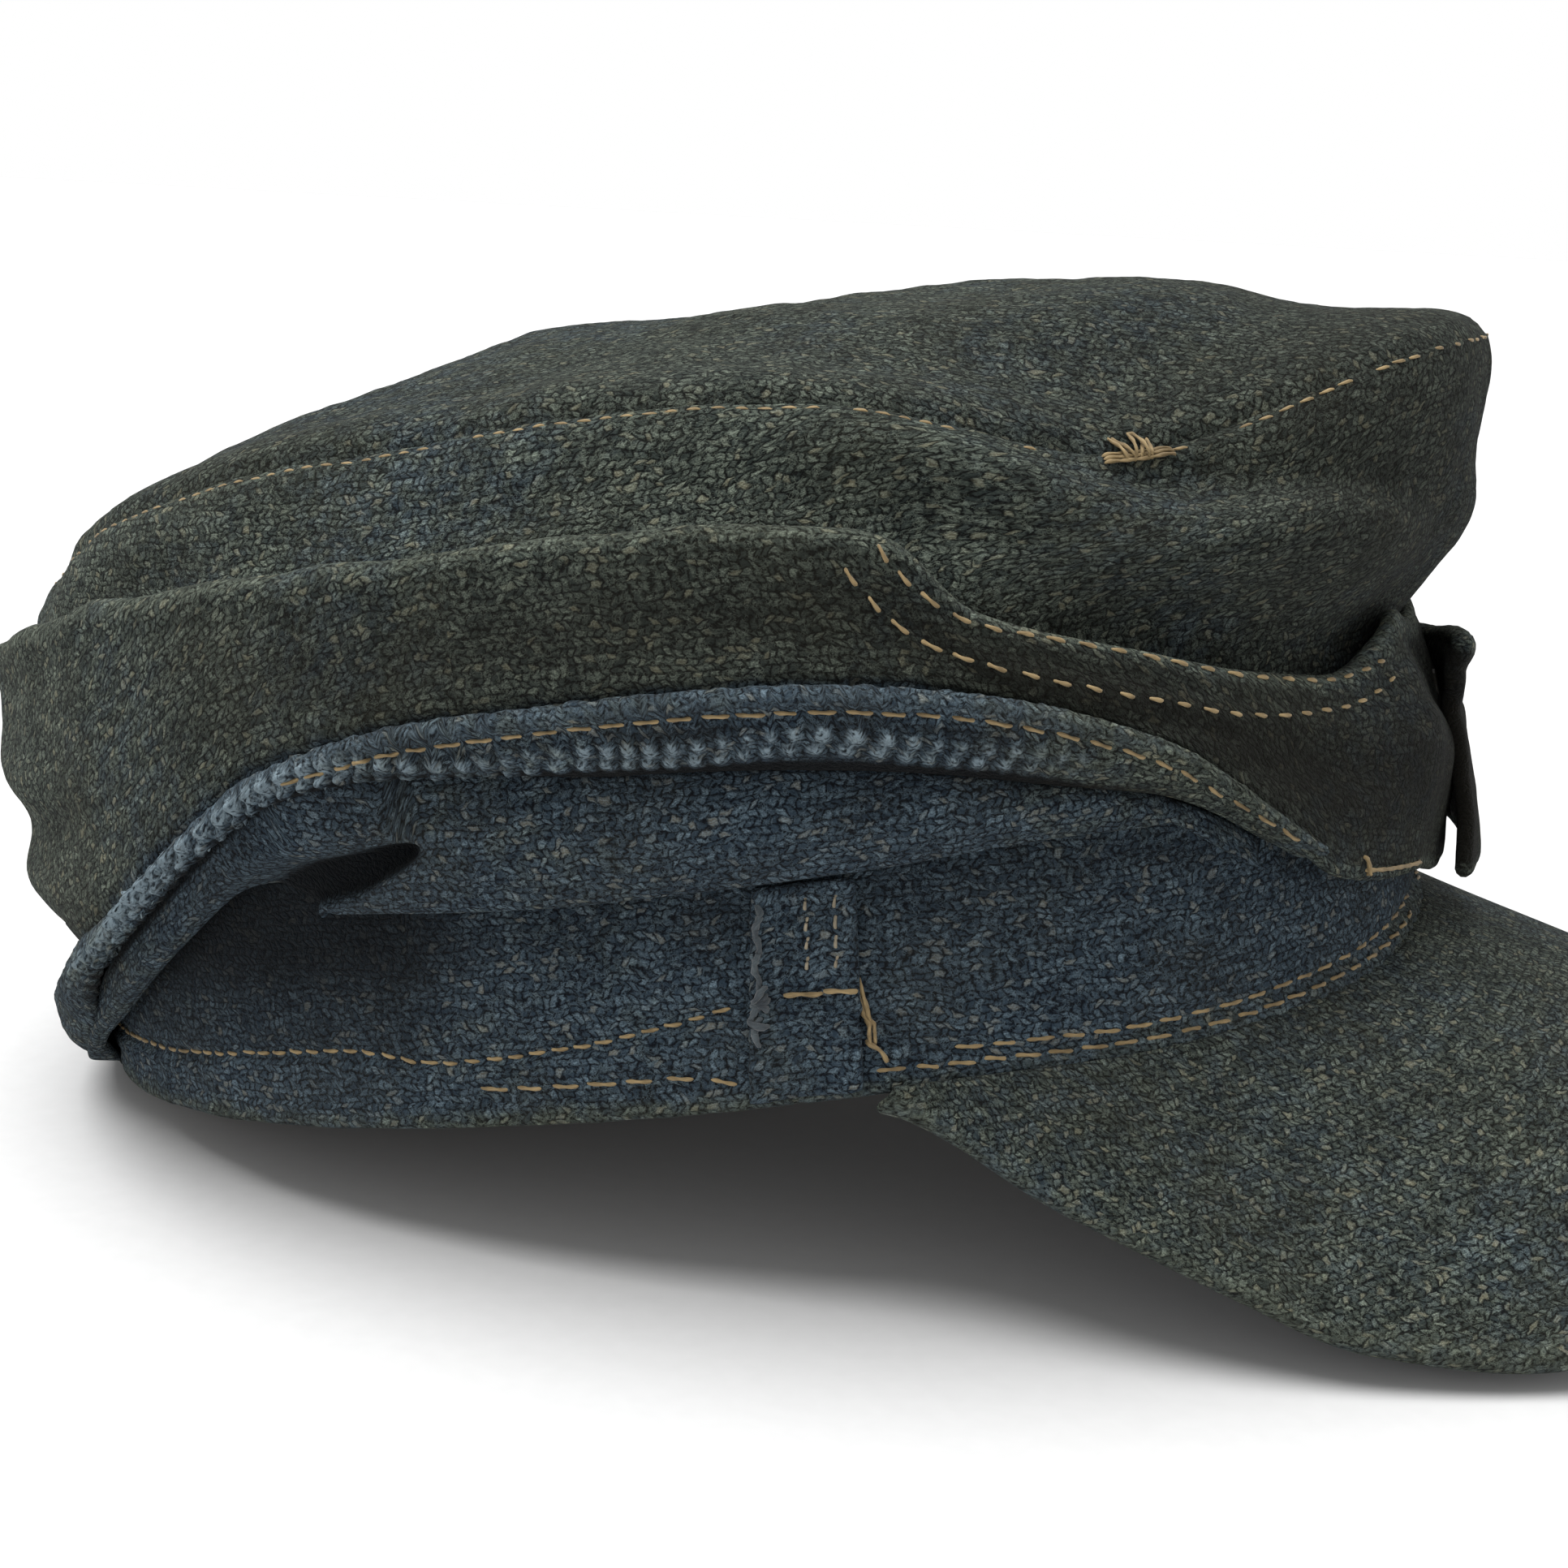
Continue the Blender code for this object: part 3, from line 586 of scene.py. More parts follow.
def mesh_object(name, verts, faces, uv, attributes, material, sharp=None):
    """A smooth mesh from arrays. faces is a list of (count, corners) arrays of quads or triangles."""
    mesh = bpy.data.meshes.new(name)
    loops = np.concatenate([f.ravel() for f in faces])
    sizes = np.concatenate([np.full(len(f), f.shape[1]) for f in faces])
    mesh.vertices.add(len(verts))
    mesh.vertices.foreach_set("co", to_world(verts).astype(np.float32).ravel())
    mesh.loops.add(len(loops))
    mesh.loops.foreach_set("vertex_index", loops.astype(np.int32))
    mesh.polygons.add(len(sizes))
    mesh.polygons.foreach_set("loop_start", np.concatenate([[0], np.cumsum(sizes)[:-1]]).astype(np.int32))
    mesh.polygons.foreach_set("use_smooth", np.ones(len(sizes), bool))
    mesh.update(calc_edges=True)
    layer = mesh.uv_layers.new(name="weave")
    layer.data.foreach_set("uv", (uv[loops] * MM).astype(np.float32).ravel())
    for label, values in attributes.items():
        made = mesh.attributes.new(label, "FLOAT", "POINT")
        made.data.foreach_set("value", values.astype(np.float32))
    if sharp is not None:
        pairs = np.zeros(len(mesh.edges) * 2, np.int32)
        mesh.edges.foreach_get("vertices", pairs)
        pairs = pairs.reshape(-1, 2)
        hard = mesh.attributes.new("sharp_edge", "BOOLEAN", "EDGE")
        hard.data.foreach_set("value", sharp[pairs[:, 0]] & sharp[pairs[:, 1]])
    mesh.validate()
    mesh.materials.append(material)
    made = bpy.data.objects.new(name, mesh)
    bpy.context.scene.collection.objects.link(made)
    return made


def settle_on(piece, body):
    """body is a CAD body's name, which the piece is attached to, or (body, body, start, end) for cloth that
    lies between two; such a piece is only fixed where it stands.
    """
    if isinstance(body, str):
        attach(piece, body)
    else:
        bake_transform(piece)


def border(count_u, count_v):
    """Grid indices round the edge of a grid, in order."""
    order = [(i, 0) for i in range(count_u)]
    order += [(count_u - 1, j) for j in range(1, count_v)]
    order += [(i, count_v - 1) for i in range(count_u - 2, -1, -1)]
    order += [(0, j) for j in range(count_v - 2, 0, -1)]
    return np.array(order)


def cloth(name, p, slot, body, replaces, thick=CLOTH, butt=(), tone=0.0, wear_and_painted_light=0.0,
          uv=None, rounding=3, inside=0.0):
    """A closed sheet of cloth under a grid of points, with rounded edges.

    butt names the ends ("start" or "end" of the first index) that another piece goes on from.
    tone is 0 for faded cloth to 1 for unfaded. The wear and painted light value is above 0 where wear
    pales an area and where a highlight is painted, and below 0 where it is darker, mostly by painted shade;
    inside is added to that on the inner face."""
    count_u, count_v = p.shape[:2]
    out = normals(p)
    thick = np.broadcast_to(np.asarray(thick, float), (count_u, count_v))
    inner = p - out * thick[..., None]
    tone, wear_and_painted_light = (np.broadcast_to(values, (count_u, count_v)) for values in (tone, wear_and_painted_light))
    across_u = np.linalg.norm(np.diff(p, axis=0), axis=-1).mean(1)
    across_v = np.linalg.norm(np.diff(p, axis=1), axis=-1).mean(0)
    if uv is None:
        run_u = np.broadcast_to(np.concatenate([[0], np.cumsum(across_u)])[:, None], (count_u, count_v))
        lengths_v = np.linalg.norm(np.diff(p, axis=1), axis=-1)
        run_v = np.concatenate([np.zeros((count_u, 1)), np.cumsum(lengths_v, axis=1)], axis=1)
        uv = np.stack([run_u, run_v], axis=-1)
    order = border(count_u, count_v)
    i, j = order.T
    away = np.zeros((len(order), 3))
    step_u, step_v = unit(np.gradient(p, axis=0)), unit(np.gradient(p, axis=1))
    sides = ((i == 0, -step_u, "start" in butt), (i == count_u - 1, step_u, "end" in butt),
             (j == 0, -step_v, False), (j == count_v - 1, step_v, False))
    for mask, direction, is_butt in sides:
        if not is_butt:
            away += np.where(mask[:, None], direction[i, j], 0.0)
    bulging = (np.linalg.norm(away, axis=-1) > 1e-6)[:, None]
    away = unit(away) * bulging
    radius = thick[i, j][:, None] / 2
    centre = (p[i, j] + inner[i, j]) / 2
    outward = np.stack([(i > 0) * 1.0 - (i < count_u - 1), (j > 0) * 1.0 - (j < count_v - 1)], -1)
    outer_index = np.arange(count_u * count_v).reshape(count_u, count_v)
    total = count_u * count_v
    rings, verts = [outer_index[i, j]], [p.reshape(-1, 3), inner.reshape(-1, 3)]
    uvs = [uv.reshape(-1, 2), uv.reshape(-1, 2)]
    tones, wear_and_light_values = [tone.ravel()] * 2, [wear_and_painted_light.ravel(), wear_and_painted_light.ravel() + inside]
    start = 2 * total
    for k in range(1, rounding + 1):
        a = math.pi * k / (rounding + 1)
        verts.append(centre + out[i, j] * radius * math.cos(a) + away * radius * math.sin(a))
        uvs.append(uv[i, j] + outward * radius * a)
        tones.append(tone[i, j])
        wear_and_light_values.append(wear_and_painted_light[i, j])
        rings.append(start + np.arange(len(order)))
        start += len(order)
    rings.append(total + outer_index[i, j])
    quads = np.stack([outer_index[:-1, :-1], outer_index[1:, :-1], outer_index[1:, 1:], outer_index[:-1, 1:]],
                     axis=-1).reshape(-1, 4)
    rims = [np.stack([low, high, np.roll(high, -1), np.roll(low, -1)], axis=-1)
            for low, high in zip(rings, rings[1:])]
    i, j = count_u // 2, count_v // 2
    first = np.cross(p[i + 1, j] - p[i, j], p[i, j + 1] - p[i, j]) @ out[i, j] > 0
    faces = [quads if first else quads[:, ::-1], total + (quads[:, ::-1] if first else quads)]
    faces += [r if first else r[:, ::-1] for r in rims]
    sharp = np.zeros(start, bool)
    for k, label in ((0, "start"), (count_u - 1, "end")):
        if label in butt:
            sharp[outer_index[k]] = True
            sharp[total + outer_index[k]] = True
    attributes = {"tone": np.concatenate(tones), "wear_and_painted_light": np.concatenate(wear_and_light_values)}
    made = mesh_object(name, np.concatenate(verts), faces, np.concatenate(uvs), attributes, SLOT_LOOKS[slot],
                       sharp)
    settle_on(made, body)
    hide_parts(*replaces)


TUBE_SIDES = 8
PLIES = 2


def tubes(name, lines, radius, material, body, twist, replaces=()):
    """Threads along several lines of points, each a closed tube with plies that turn round it."""
    verts, faces, uvs, start = [], [], [], 0
    sides = TUBE_SIDES
    for line in lines:
        line = np.asarray(line, float)
        count = len(line)
        tangent = unit(np.gradient(line, axis=0))
        a = unit(np.cross(tangent, np.array([0.31, 0.22, 0.92])))
        b = np.cross(tangent, a)
        run = np.concatenate([[0], np.cumsum(np.linalg.norm(np.diff(line, axis=0), axis=-1))])
        size = np.full((count, 1), radius)
        size[[0, -1]] *= 0.55
        turn = np.broadcast_to(np.arange(sides) * 2 * math.pi / sides, (count, sides))
        r = size * (1.0 + 0.22 * np.cos(PLIES * (turn - twist * run[:, None])))
        aside, above = r * np.cos(turn), r * np.sin(turn)
        ring = line[:, None] + a[:, None] * aside[..., None] + b[:, None] * above[..., None]
        verts += [ring.reshape(-1, 3), line[:1], line[-1:]]
        index = start + np.arange(count * sides).reshape(count, sides)
        following = np.roll(index, -1, axis=1)
        quads = np.stack([index[:-1], following[:-1], following[1:], index[1:]], axis=-1).reshape(-1, 4)
        head, tail = start + count * sides, start + count * sides + 1
        front = np.stack([np.full(sides, head), following[0], index[0]], axis=-1)
        back = np.stack([np.full(sides, tail), index[-1], following[-1]], axis=-1)
        faces.append((quads, front, back))
        spots = np.stack([np.broadcast_to(run[:, None], (count, sides)), turn * radius], -1)
        uvs += [spots.reshape(-1, 2), spots[:1, 0], spots[-1:, 0]]
        start += count * sides + 2
    groups = [np.concatenate([f[k] for f in faces]) for k in range(3)]
    made = mesh_object(name, np.concatenate(verts), groups, np.concatenate(uvs), {"tone": np.zeros(start)},
                       material)
    settle_on(made, body)
    if replaces:
        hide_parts(*replaces)


def stitches(p, out, pitch, length, lift=0.16, sink=0.4, skip=0.0, fade=1.0):
    """Lines of the visible stitches of a row that follows points p on cloth with normals out.

    fade is how long the stitches at the row's start are, as a share of those at its end."""
    run = np.concatenate([[0], np.cumsum(np.linalg.norm(np.diff(p, axis=0), axis=-1))])
    lines = []
    at = pitch * 0.5
    while at < run[-1] - pitch * 0.4:
        long = length * rng.uniform(0.82, 1.12) * (fade + (1 - fade) * at / run[-1])
        if rng.random() >= skip:
            s = at + np.linspace(-0.5, 0.5, 8) * long
            spot = np.stack([np.interp(s, run, p[:, k]) for k in range(3)], axis=-1)
            n = unit(np.stack([np.interp(s, run, out[:, k]) for k in range(3)], axis=-1))
            across = unit(np.cross(unit(np.gradient(spot, axis=0)), n))
            t = np.linspace(-1, 1, 8)[:, None]
            height = lift * (1 - t ** 2) - sink * np.abs(t) ** 5 + rng.uniform(-0.06, 0.05)
            askew = 0.16 * t * rng.uniform(0.4, 1.4) + rng.uniform(-0.08, 0.08)
            lines.append(spot + n * height + across * askew)
        at += pitch * rng.uniform(0.93, 1.07)
    return lines


# ---------------------------------------------------------------- materials

class Finish:
    """Builds one procedural material."""

    def __init__(self, name, roughness, specular, sheen=0.0, metallic=0.0):
        self.material = bpy.data.materials.new(name)
        self.material.use_nodes = True
        self.tree = self.material.node_tree
        self.shader = self.tree.nodes["Principled BSDF"]
        for label, value in (("Roughness", roughness), ("Specular IOR Level", specular),
                             ("Sheen Weight", sheen), ("Sheen Roughness", 0.6), ("Metallic", metallic)):
            self.shader.inputs[label].default_value = value

    def node(self, kind, inputs=(), output=0, **settings):
        made = self.tree.nodes.new(kind)
        for label, value in settings.items():
            setattr(made, label, value)
        for index, value in inputs:
            if isinstance(value, bpy.types.NodeSocket):
                self.tree.links.new(value, made.inputs[index])
            elif value is not None:
                made.inputs[index].default_value = value
        return made.outputs[output]

    def math(self, operation, a, b=None, c=None):
        return self.node("ShaderNodeMath", ((0, a), (1, b), (2, c)), operation=operation)

    def times(self, a, b):
        return self.math("MULTIPLY", a, b)

    def plus(self, a, b):
        return self.math("ADD", a, b)

    def minus(self, a, b):
        return self.math("SUBTRACT", a, b)

    def times_plus(self, a, b, c):
        return self.math("MULTIPLY_ADD", a, b, c)

    def off_middle(self, value):
        """How far value is from a half."""
        return self.math("ABSOLUTE", self.minus(value, 0.5))

    def move(self, vector, factor, offset=(0.0, 0.0, 0.0)):
        """vector times factor plus offset."""
        scaled = self.node("ShaderNodeVectorMath", ((0, vector), (1, factor)), operation="MULTIPLY")
        return self.node("ShaderNodeVectorMath", ((0, scaled), (1, offset)), operation="ADD")

    def noise(self, vector, scale, detail=2.0, output=0):
        inputs = (("Vector", vector), ("Scale", scale), ("Detail", detail))
        return self.node("ShaderNodeTexNoise", inputs, output)

    def ramp(self, value, low, high):
        """Goes smoothly from 0 at low to 1 at high."""
        inputs = (("Value", value), ("From Min", low), ("From Max", high))
        return self.node("ShaderNodeMapRange", inputs, interpolation_type="SMOOTHSTEP")

    def mix(self, factor, a, b):
        inputs = ((0, factor), (6, a), (7, b))
        return self.node("ShaderNodeMix", inputs, output=2, data_type="RGBA")

    def attribute(self, name):
        return self.node("ShaderNodeAttribute", output=2, attribute_name=name)

    def weave_mm(self):
        """The cloth's own coordinates, in millimetres."""
        uv = self.node("ShaderNodeUVMap", uv_map="weave")
        return self.move(uv, (1000.0, 1000.0, 0.0))

    def place(self):
        """Place on the cap at rest, in metres."""
        return self.node("ShaderNodeTexCoord", output=3)

    def split(self, vector):
        """The x, y and z of a vector."""
        made = self.tree.nodes.new("ShaderNodeSeparateXYZ")
        self.tree.links.new(vector, made.inputs[0])
        return made.outputs

    def done(self, colour, height=None, depth=0.0003, strength=0.8):
        """Gives the material its colour, and its relief of a depth in metres."""
        self.tree.links.new(colour, self.shader.inputs["Base Color"])
        if height is not None:
            inputs = (("Strength", strength), ("Distance", depth), ("Height", height))
            self.tree.links.new(self.node("ShaderNodeBump", inputs), self.shader.inputs["Normal"])
        return self.material


def rgb(r, g, b):
    return (r, g, b, 1.0)


FLOAT_LENGTH = 1.22


def wool_material():
    """Coarse felted homespun: short slanted floats that turn from row to row, under a haze of fibres."""
    f = Finish("coarse_wool", roughness=0.94, specular=0.05, sheen=0.03)
    mm = f.weave_mm()
    bent = mm
    for scale, reach in ((0.2, 2.6), (0.7, 1.2), (2.2, 0.34)):
        push = f.noise(mm, scale, 1.0, output=1)
        push = f.move(push, (reach, reach, 0.0), (-reach / 2, -reach / 2, 0.0))
        bent = f.node("ShaderNodeVectorMath", ((0, bent), (1, push)), operation="ADD")
    along_cloth, across_cloth = f.split(bent)[:2]
    row = f.math("FLOOR", across_cloth)
    in_row = f.math("FRACT", across_cloth)
    lean = f.minus(f.math("PINGPONG", row, 1.0), 0.5)
    row_shift = f.node("ShaderNodeTexWhiteNoise", ((1, row),), noise_dimensions="1D")
    x = f.math("DIVIDE", along_cloth, FLOAT_LENGTH)
    x = f.plus(f.times_plus(f.times(lean, in_row), 1.1, x), row_shift)
    cell = f.math("FLOOR", x)
    cell_id = f.node("ShaderNodeCombineXYZ", ((0, cell), (1, row)))
    chance = f.node("ShaderNodeTexWhiteNoise", ((0, cell_id),), noise_dimensions="2D")
    off_x, off_y = f.off_middle(f.math("FRACT", x)), f.off_middle(in_row)
    floats = f.times(f.ramp(off_x, 0.50, 0.20), f.ramp(off_y, 0.52, 0.20))
    felt = f.ramp(f.noise(mm, 1.5, 4.0), 0.28, 0.72)
    grit = f.ramp(f.noise(mm, 4.2, 2.0), 0.34, 0.66)
    open_weave = f.ramp(f.noise(mm, 0.13, 3.0), 0.30, 0.66)
    floats = f.times(floats, f.times_plus(open_weave, 0.55, 0.45))
    hairs = None
    for scale, shift, width in ((0.75, 0.0, 0.030), (1.05, 31.0, 0.030), (1.6, 77.0, 0.036)):
        field = f.noise(f.move(mm, (1.0, 1.0, 0.0), (shift, 2 * shift, 0.0)), scale, 2.0)
        line = f.ramp(f.off_middle(field), width, 0.0)
        hairs = line if hairs is None else f.math("MAXIMUM", hairs, line)
    hairs = f.times(hairs, f.ramp(f.noise(mm, 0.8, 3.0), 0.40, 0.66))
    slanted = f.node("ShaderNodeCombineXYZ", ((0, f.times(x, 1.5)), (1, f.times(across_cloth, 6.5))))
    fibre = f.ramp(f.noise(slanted, 1.0, 3.0), 0.36, 0.64)
    height = f.times_plus(floats, 0.50, f.times(felt, 0.28))
    for layer, share in ((fibre, 0.12), (grit, 0.15), (hairs, 0.20)):
        height = f.times_plus(layer, share, height)
    place = f.place()
    patch = f.ramp(f.noise(place, 24.0, 3.0), 0.34, 0.66)
    grime = f.ramp(f.noise(f.move(place, (1.0, 1.0, 1.0), (3.0, 1.0, 2.0)), 55.0, 4.0), 0.38, 0.72)
    speckle = f.ramp(f.noise(mm, 0.33, 3.0), 0.35, 0.65)
    tone = f.plus(f.attribute("tone"), f.times_plus(patch, 0.5, -0.20))
    tone = f.ramp(f.times_plus(speckle, 0.35, f.minus(tone, 0.17)), 0.0, 1.0)
    dark = f.mix(tone, rgb(0.0030, 0.0038, 0.0036), rgb(0.0020, 0.0036, 0.0066))
    mid = f.mix(tone, rgb(0.0215, 0.0285, 0.0260), rgb(0.0180, 0.0305, 0.0450))
    light = f.mix(tone, rgb(0.250, 0.290, 0.230), rgb(0.172, 0.240, 0.285))
    # Low places in the weave go near black: painted shade in its gaps.
    colour = f.mix(f.ramp(height, 0.26, 0.62), dark, mid)
    bright = f.times(floats, f.times_plus(f.math("POWER", chance, 1.6), 1.05, 0.05))
    for layer, share, least in ((grit, 0.7, 0.3), (fibre, 1.0, 0.35)):
        bright = f.times(bright, f.times_plus(layer, share, least))
    colour = f.mix(bright, colour, light)
    colour = f.mix(f.times(hairs, 0.40), colour, light)
    tan = f.times(f.ramp(chance, 0.86, 0.97), floats)
    colour = f.mix(f.times(tan, 0.45), colour, rgb(0.165, 0.130, 0.070))
    colour = f.mix(f.times(grime, 0.22), colour, rgb(0.026, 0.023, 0.012))
    # The attribute pales the cloth with wear and painted highlights, and below 0 darkens it, mostly as
    # painted shade.
    wear_and_painted_light = f.times(f.attribute("wear_and_painted_light"), felt)
    pale = f.mix(tone, rgb(0.180, 0.200, 0.150), rgb(0.205, 0.265, 0.300))
    colour = f.mix(f.ramp(wear_and_painted_light, 0.0, 1.2), colour, pale)
    darkening_colour = f.mix(tone, rgb(0.0050, 0.0045, 0.0028), rgb(0.002, 0.003, 0.004))
    colour = f.mix(f.ramp(f.attribute("wear_and_painted_light"), 0.0, -1.0), colour, darkening_colour)
    return f.done(colour, height, depth=0.00045, strength=1.0)


def plied_material(name, dark, light, roughness=0.6, sheen=0.1):
    """Thread or yarn, mottled and faintly ribbed by its fibres."""
    f = Finish(name, roughness=roughness, specular=0.3, sheen=sheen)
    mm = f.weave_mm()
    place = f.place()
    strands = f.noise(f.move(mm, (0.7, 4.0, 0.0)), 1.6, 3.0)
    spots = f.noise(place, 420.0, 2.0)
    mottled = f.ramp(f.times_plus(spots, 0.6, f.times(strands, 0.4)), 0.3, 0.66)
    colour = f.mix(mottled, dark, light)
    return f.done(colour, strands, depth=0.00012, strength=0.7)


def leather_material():
    f = Finish("sweatband_leather", roughness=0.55, specular=0.4)
    place = f.place()
    cells = f.node("ShaderNodeTexVoronoi", (("Vector", place), ("Scale", 900.0)), feature="DISTANCE_TO_EDGE")
    pores = f.ramp(cells, 0.0, 0.22)
    stain = f.ramp(f.noise(place, 40.0, 4.0), 0.35, 0.7)
    colour = f.mix(stain, rgb(0.045, 0.022, 0.010), rgb(0.15, 0.080, 0.040))
    colour = f.mix(pores, rgb(0.035, 0.018, 0.010), colour)
    return f.done(colour, pores, depth=0.0001)


def twill_material():
    f = Finish("lining_twill", roughness=0.7, specular=0.25, sheen=0.1)
    x, y = f.split(f.weave_mm())[:2]
    diagonal = f.plus(f.times(x, 1.6), f.times(y, 1.6))
    rib = f.ramp(f.math("PINGPONG", diagonal, 0.5), 0.05, 0.4)
    stain = f.ramp(f.noise(f.place(), 30.0, 4.0), 0.35, 0.7)
    colour = f.mix(rib, rgb(0.055, 0.050, 0.042), rgb(0.15, 0.14, 0.12))
    colour = f.mix(f.times(stain, 0.4), colour, rgb(0.10, 0.075, 0.045))
    return f.done(colour, rib, depth=0.00012)


def board_material():
    f = Finish("pressed_fibre_board", roughness=0.8, specular=0.2)
    grain = f.noise(f.place(), 700.0, 5.0)
    colour = f.mix(f.ramp(grain, 0.3, 0.7), rgb(0.11, 0.08, 0.05), rgb(0.24, 0.19, 0.13))
    return f.done(colour, grain, 0.0001)


def steel_material():
    # Dark painted steel, made darker still as painted shade for studs that sit in the tab's shadowed gap.
    f = Finish("dark_steel_and_painted_shade", roughness=0.5, specular=0.4, metallic=1.0)
    spots = f.noise(f.place(), 900.0, 4.0)
    colour = f.mix(f.ramp(spots, 0.4, 0.7), rgb(0.060, 0.057, 0.052), rgb(0.030, 0.026, 0.020))
    return f.done(colour, spots, 0.00005)


WOOL = wool_material()
THREAD = plied_material("gold_thread", rgb(0.12, 0.08, 0.032), rgb(0.30, 0.215, 0.100))
PALE_THREAD = plied_material("pale_thread", rgb(0.12, 0.10, 0.065), rgb(0.28, 0.24, 0.17))
YARN = plied_material("wool_yarn", rgb(0.010, 0.014, 0.020), rgb(0.065, 0.082, 0.090), 0.9, 0.2)
TWILL = twill_material()
LEATHER = leather_material()
BOARD = board_material()
STEEL = steel_material()
SLOT_LOOKS = {"faded_wool": WOOL, "unfaded_wool": WOOL, "lining_twill": TWILL, "sweatband_leather": LEATHER,
              "peak_board": BOARD}


# ---------------------------------------------------------------- pieces

SIDES = (("right", -1.0), ("left", 1.0))
REAR_JOIN = 179.55
WALL_JOIN = 0.45


def around(start, end, spacing):
    """Angles from start to end, about that many millimetres apart."""
    return np.linspace(start, end, max(3, int(abs(end - start) * MM_PER_DEGREE / spacing) + 1))


def up(start, end, count):
    """Even steps up or across a piece."""
    return np.linspace(start, end, count)


def disc(count_u, count_v):
    """Angles and reaches of a square grid bent into a disc."""
    u, v = np.meshgrid(up(-1, 1, count_u), up(-1, 1, count_v), indexing="ij")
    wide = np.abs(u) >= np.abs(v)
    radius = np.where(wide, u, v)
    safe = np.where(np.abs(radius) < 1e-9, 1e-9, radius)
    turn = np.where(wide, math.pi / 4 * v / safe, math.pi / 2 - math.pi / 4 * u / safe)
    x, y = radius * np.cos(turn), radius * np.sin(turn)
    return np.degrees(np.arctan2(y, x)), np.abs(radius)


def share_at(low, high, height):
    """How far up from low to high a height is."""
    return (height - low) / (high - low)


def laid_out(degrees, reach):
    """The crown's top flattened: each point at its distance along the cloth from the middle."""
    all_degrees, all_reach = up(-180, 180, 181), up(0, 1, 81)
    rays = crown_top(*np.meshgrid(all_degrees, all_reach, indexing="ij"))
    run = np.cumsum(np.linalg.norm(np.diff(rays, axis=1), axis=-1), axis=1)
    run = np.concatenate([np.zeros((len(all_degrees), 1)), run], axis=1)
    i = (degrees + 180) / 360 * (len(all_degrees) - 1.001)
    length = between(run, i, reach * (len(all_reach) - 1.001))
    edge = wall_oval(degrees, seam_height(degrees))
    return unit(edge[..., :2]) * length[..., None]


def wall_front_painted_shade(p):
    """Painted shade: the crown is darker towards its front."""
    return -0.38 * step(45.0, 80.0, p[..., 0]) - 0.16 * step(88.0, 108.0, p[..., 0])


def skirt_painted_shade(degrees, share):
    """Painted shade: the skirt is darkest at its side and front, below the crest."""
    a = from_front(degrees)
    return -(0.26 + 0.30 * bell(share, 0.45, 0.38) + 0.20 * step(75, 45, a)) * step(135, 90, a)


# Crown
walls = {}
for side, sign in SIDES:
    ends = sorted((sign * WALL_JOIN, sign * REAR_JOIN))
    walls[side] = Sheet(crown_wall, around(*ends, 1.0), up(0, 1, 54))
    # The walls carry painted shade towards the crown's front.
    cloth(f"crown_wall_{side}", walls[side].p, "faded_wool", "cap", [f"crown_side_{side}"],
          tone=0.12, wear_and_painted_light=wall_front_painted_shade(walls[side].p))

top_degrees, top_reach = disc(232, 150)
top = crown_top(top_degrees, top_reach)
# The top is darker all over, and carries painted shade towards its front.
cloth("crown_top", top, "faded_wool", "cap", ["crown_top_panel"],
      tone=0.08, wear_and_painted_light=0.35 * wall_front_painted_shade(top) - 0.27,
      uv=laid_out(top_degrees, top_reach))

# Lining and sweatband
LINING_THICK = 0.8
LINING_GAP = 0.6
for side, sign in SIDES:
    lining = walls[side].p - walls[side].n * (CLOTH + LINING_GAP)
    cloth(f"lining_wall_{side}", lining[::2, 1:51], "lining_twill", "cap", [f"lining_side_{side}"],
          thick=LINING_THICK)
lining_degrees, lining_reach = disc(116, 76)
lining = crown_top(lining_degrees, 0.94 * lining_reach)
lining = lining - normals(lining) * (CLOTH + LINING_GAP)
cloth("lining_crown", lining, "lining_twill", "cap", ["lining_top"], thick=LINING_THICK,
      uv=lining[..., :2])
sweat = Sheet(band, around(-179.7, 179.7, 1.6), up(1.4, 35.5, 26))
cloth("sweat_band", sweat.p - sweat.n * (CLOTH + 0.5), "sweatband_leather", "cap", ["sweatband"], thick=1.2)

# Base band
BAND_LOW = 1.1
BAND_HIGH = 38.0


def band_over_peak(degrees, height):
    """The band's front: its lower edge dips to the peak's root."""
    p = band(degrees, height)
    a = from_front(degrees)
    dip = np.minimum(along(PEAK_ROOT, a) - 1.0, 0.0) * step(74.0, 64.0, a)
    p[..., 2] += dip * (BAND_HIGH - height) / (BAND_HIGH - BAND_LOW)
    return p


band_front = Sheet(band_over_peak, around(-BAND_SEAM, BAND_SEAM, 0.9), up(BAND_LOW, BAND_HIGH, 42))
band_rear = Sheet(band, around(BAND_SEAM + 0.2, 360 - BAND_SEAM - 0.2, 0.9), up(BAND_LOW, BAND_HIGH, 42))
for label, sheet in (("front", band_front), ("rear", band_rear)):
    z = sheet.p[..., 2]
    low_edge = step(4.0, 1.0, z)
    # Painted shade: the band is darker high up, under the turned-up skirt, and at its rear below the hem.
    band_rear_painted_shade = 0.45 * step(90.0, 102.0, from_front(sheet.us[:, None])) * step(6.0, 14.0, z)
    cloth(f"band_{label}", sheet.p, "unfaded_wool", "cap", [f"base_band_{label}"],
          tone=1.0 - 0.6 * low_edge,
          wear_and_painted_light=0.28 * low_edge - 0.35 * step(14.0, 26.0, z) - band_rear_painted_shade)


def strip_angles(height):
    """Rear and front edge of the strip over the band's side join."""
    return 77.5 - 0.09 * (height - 3.4), 70.2 - 0.063 * (height - 1.2)


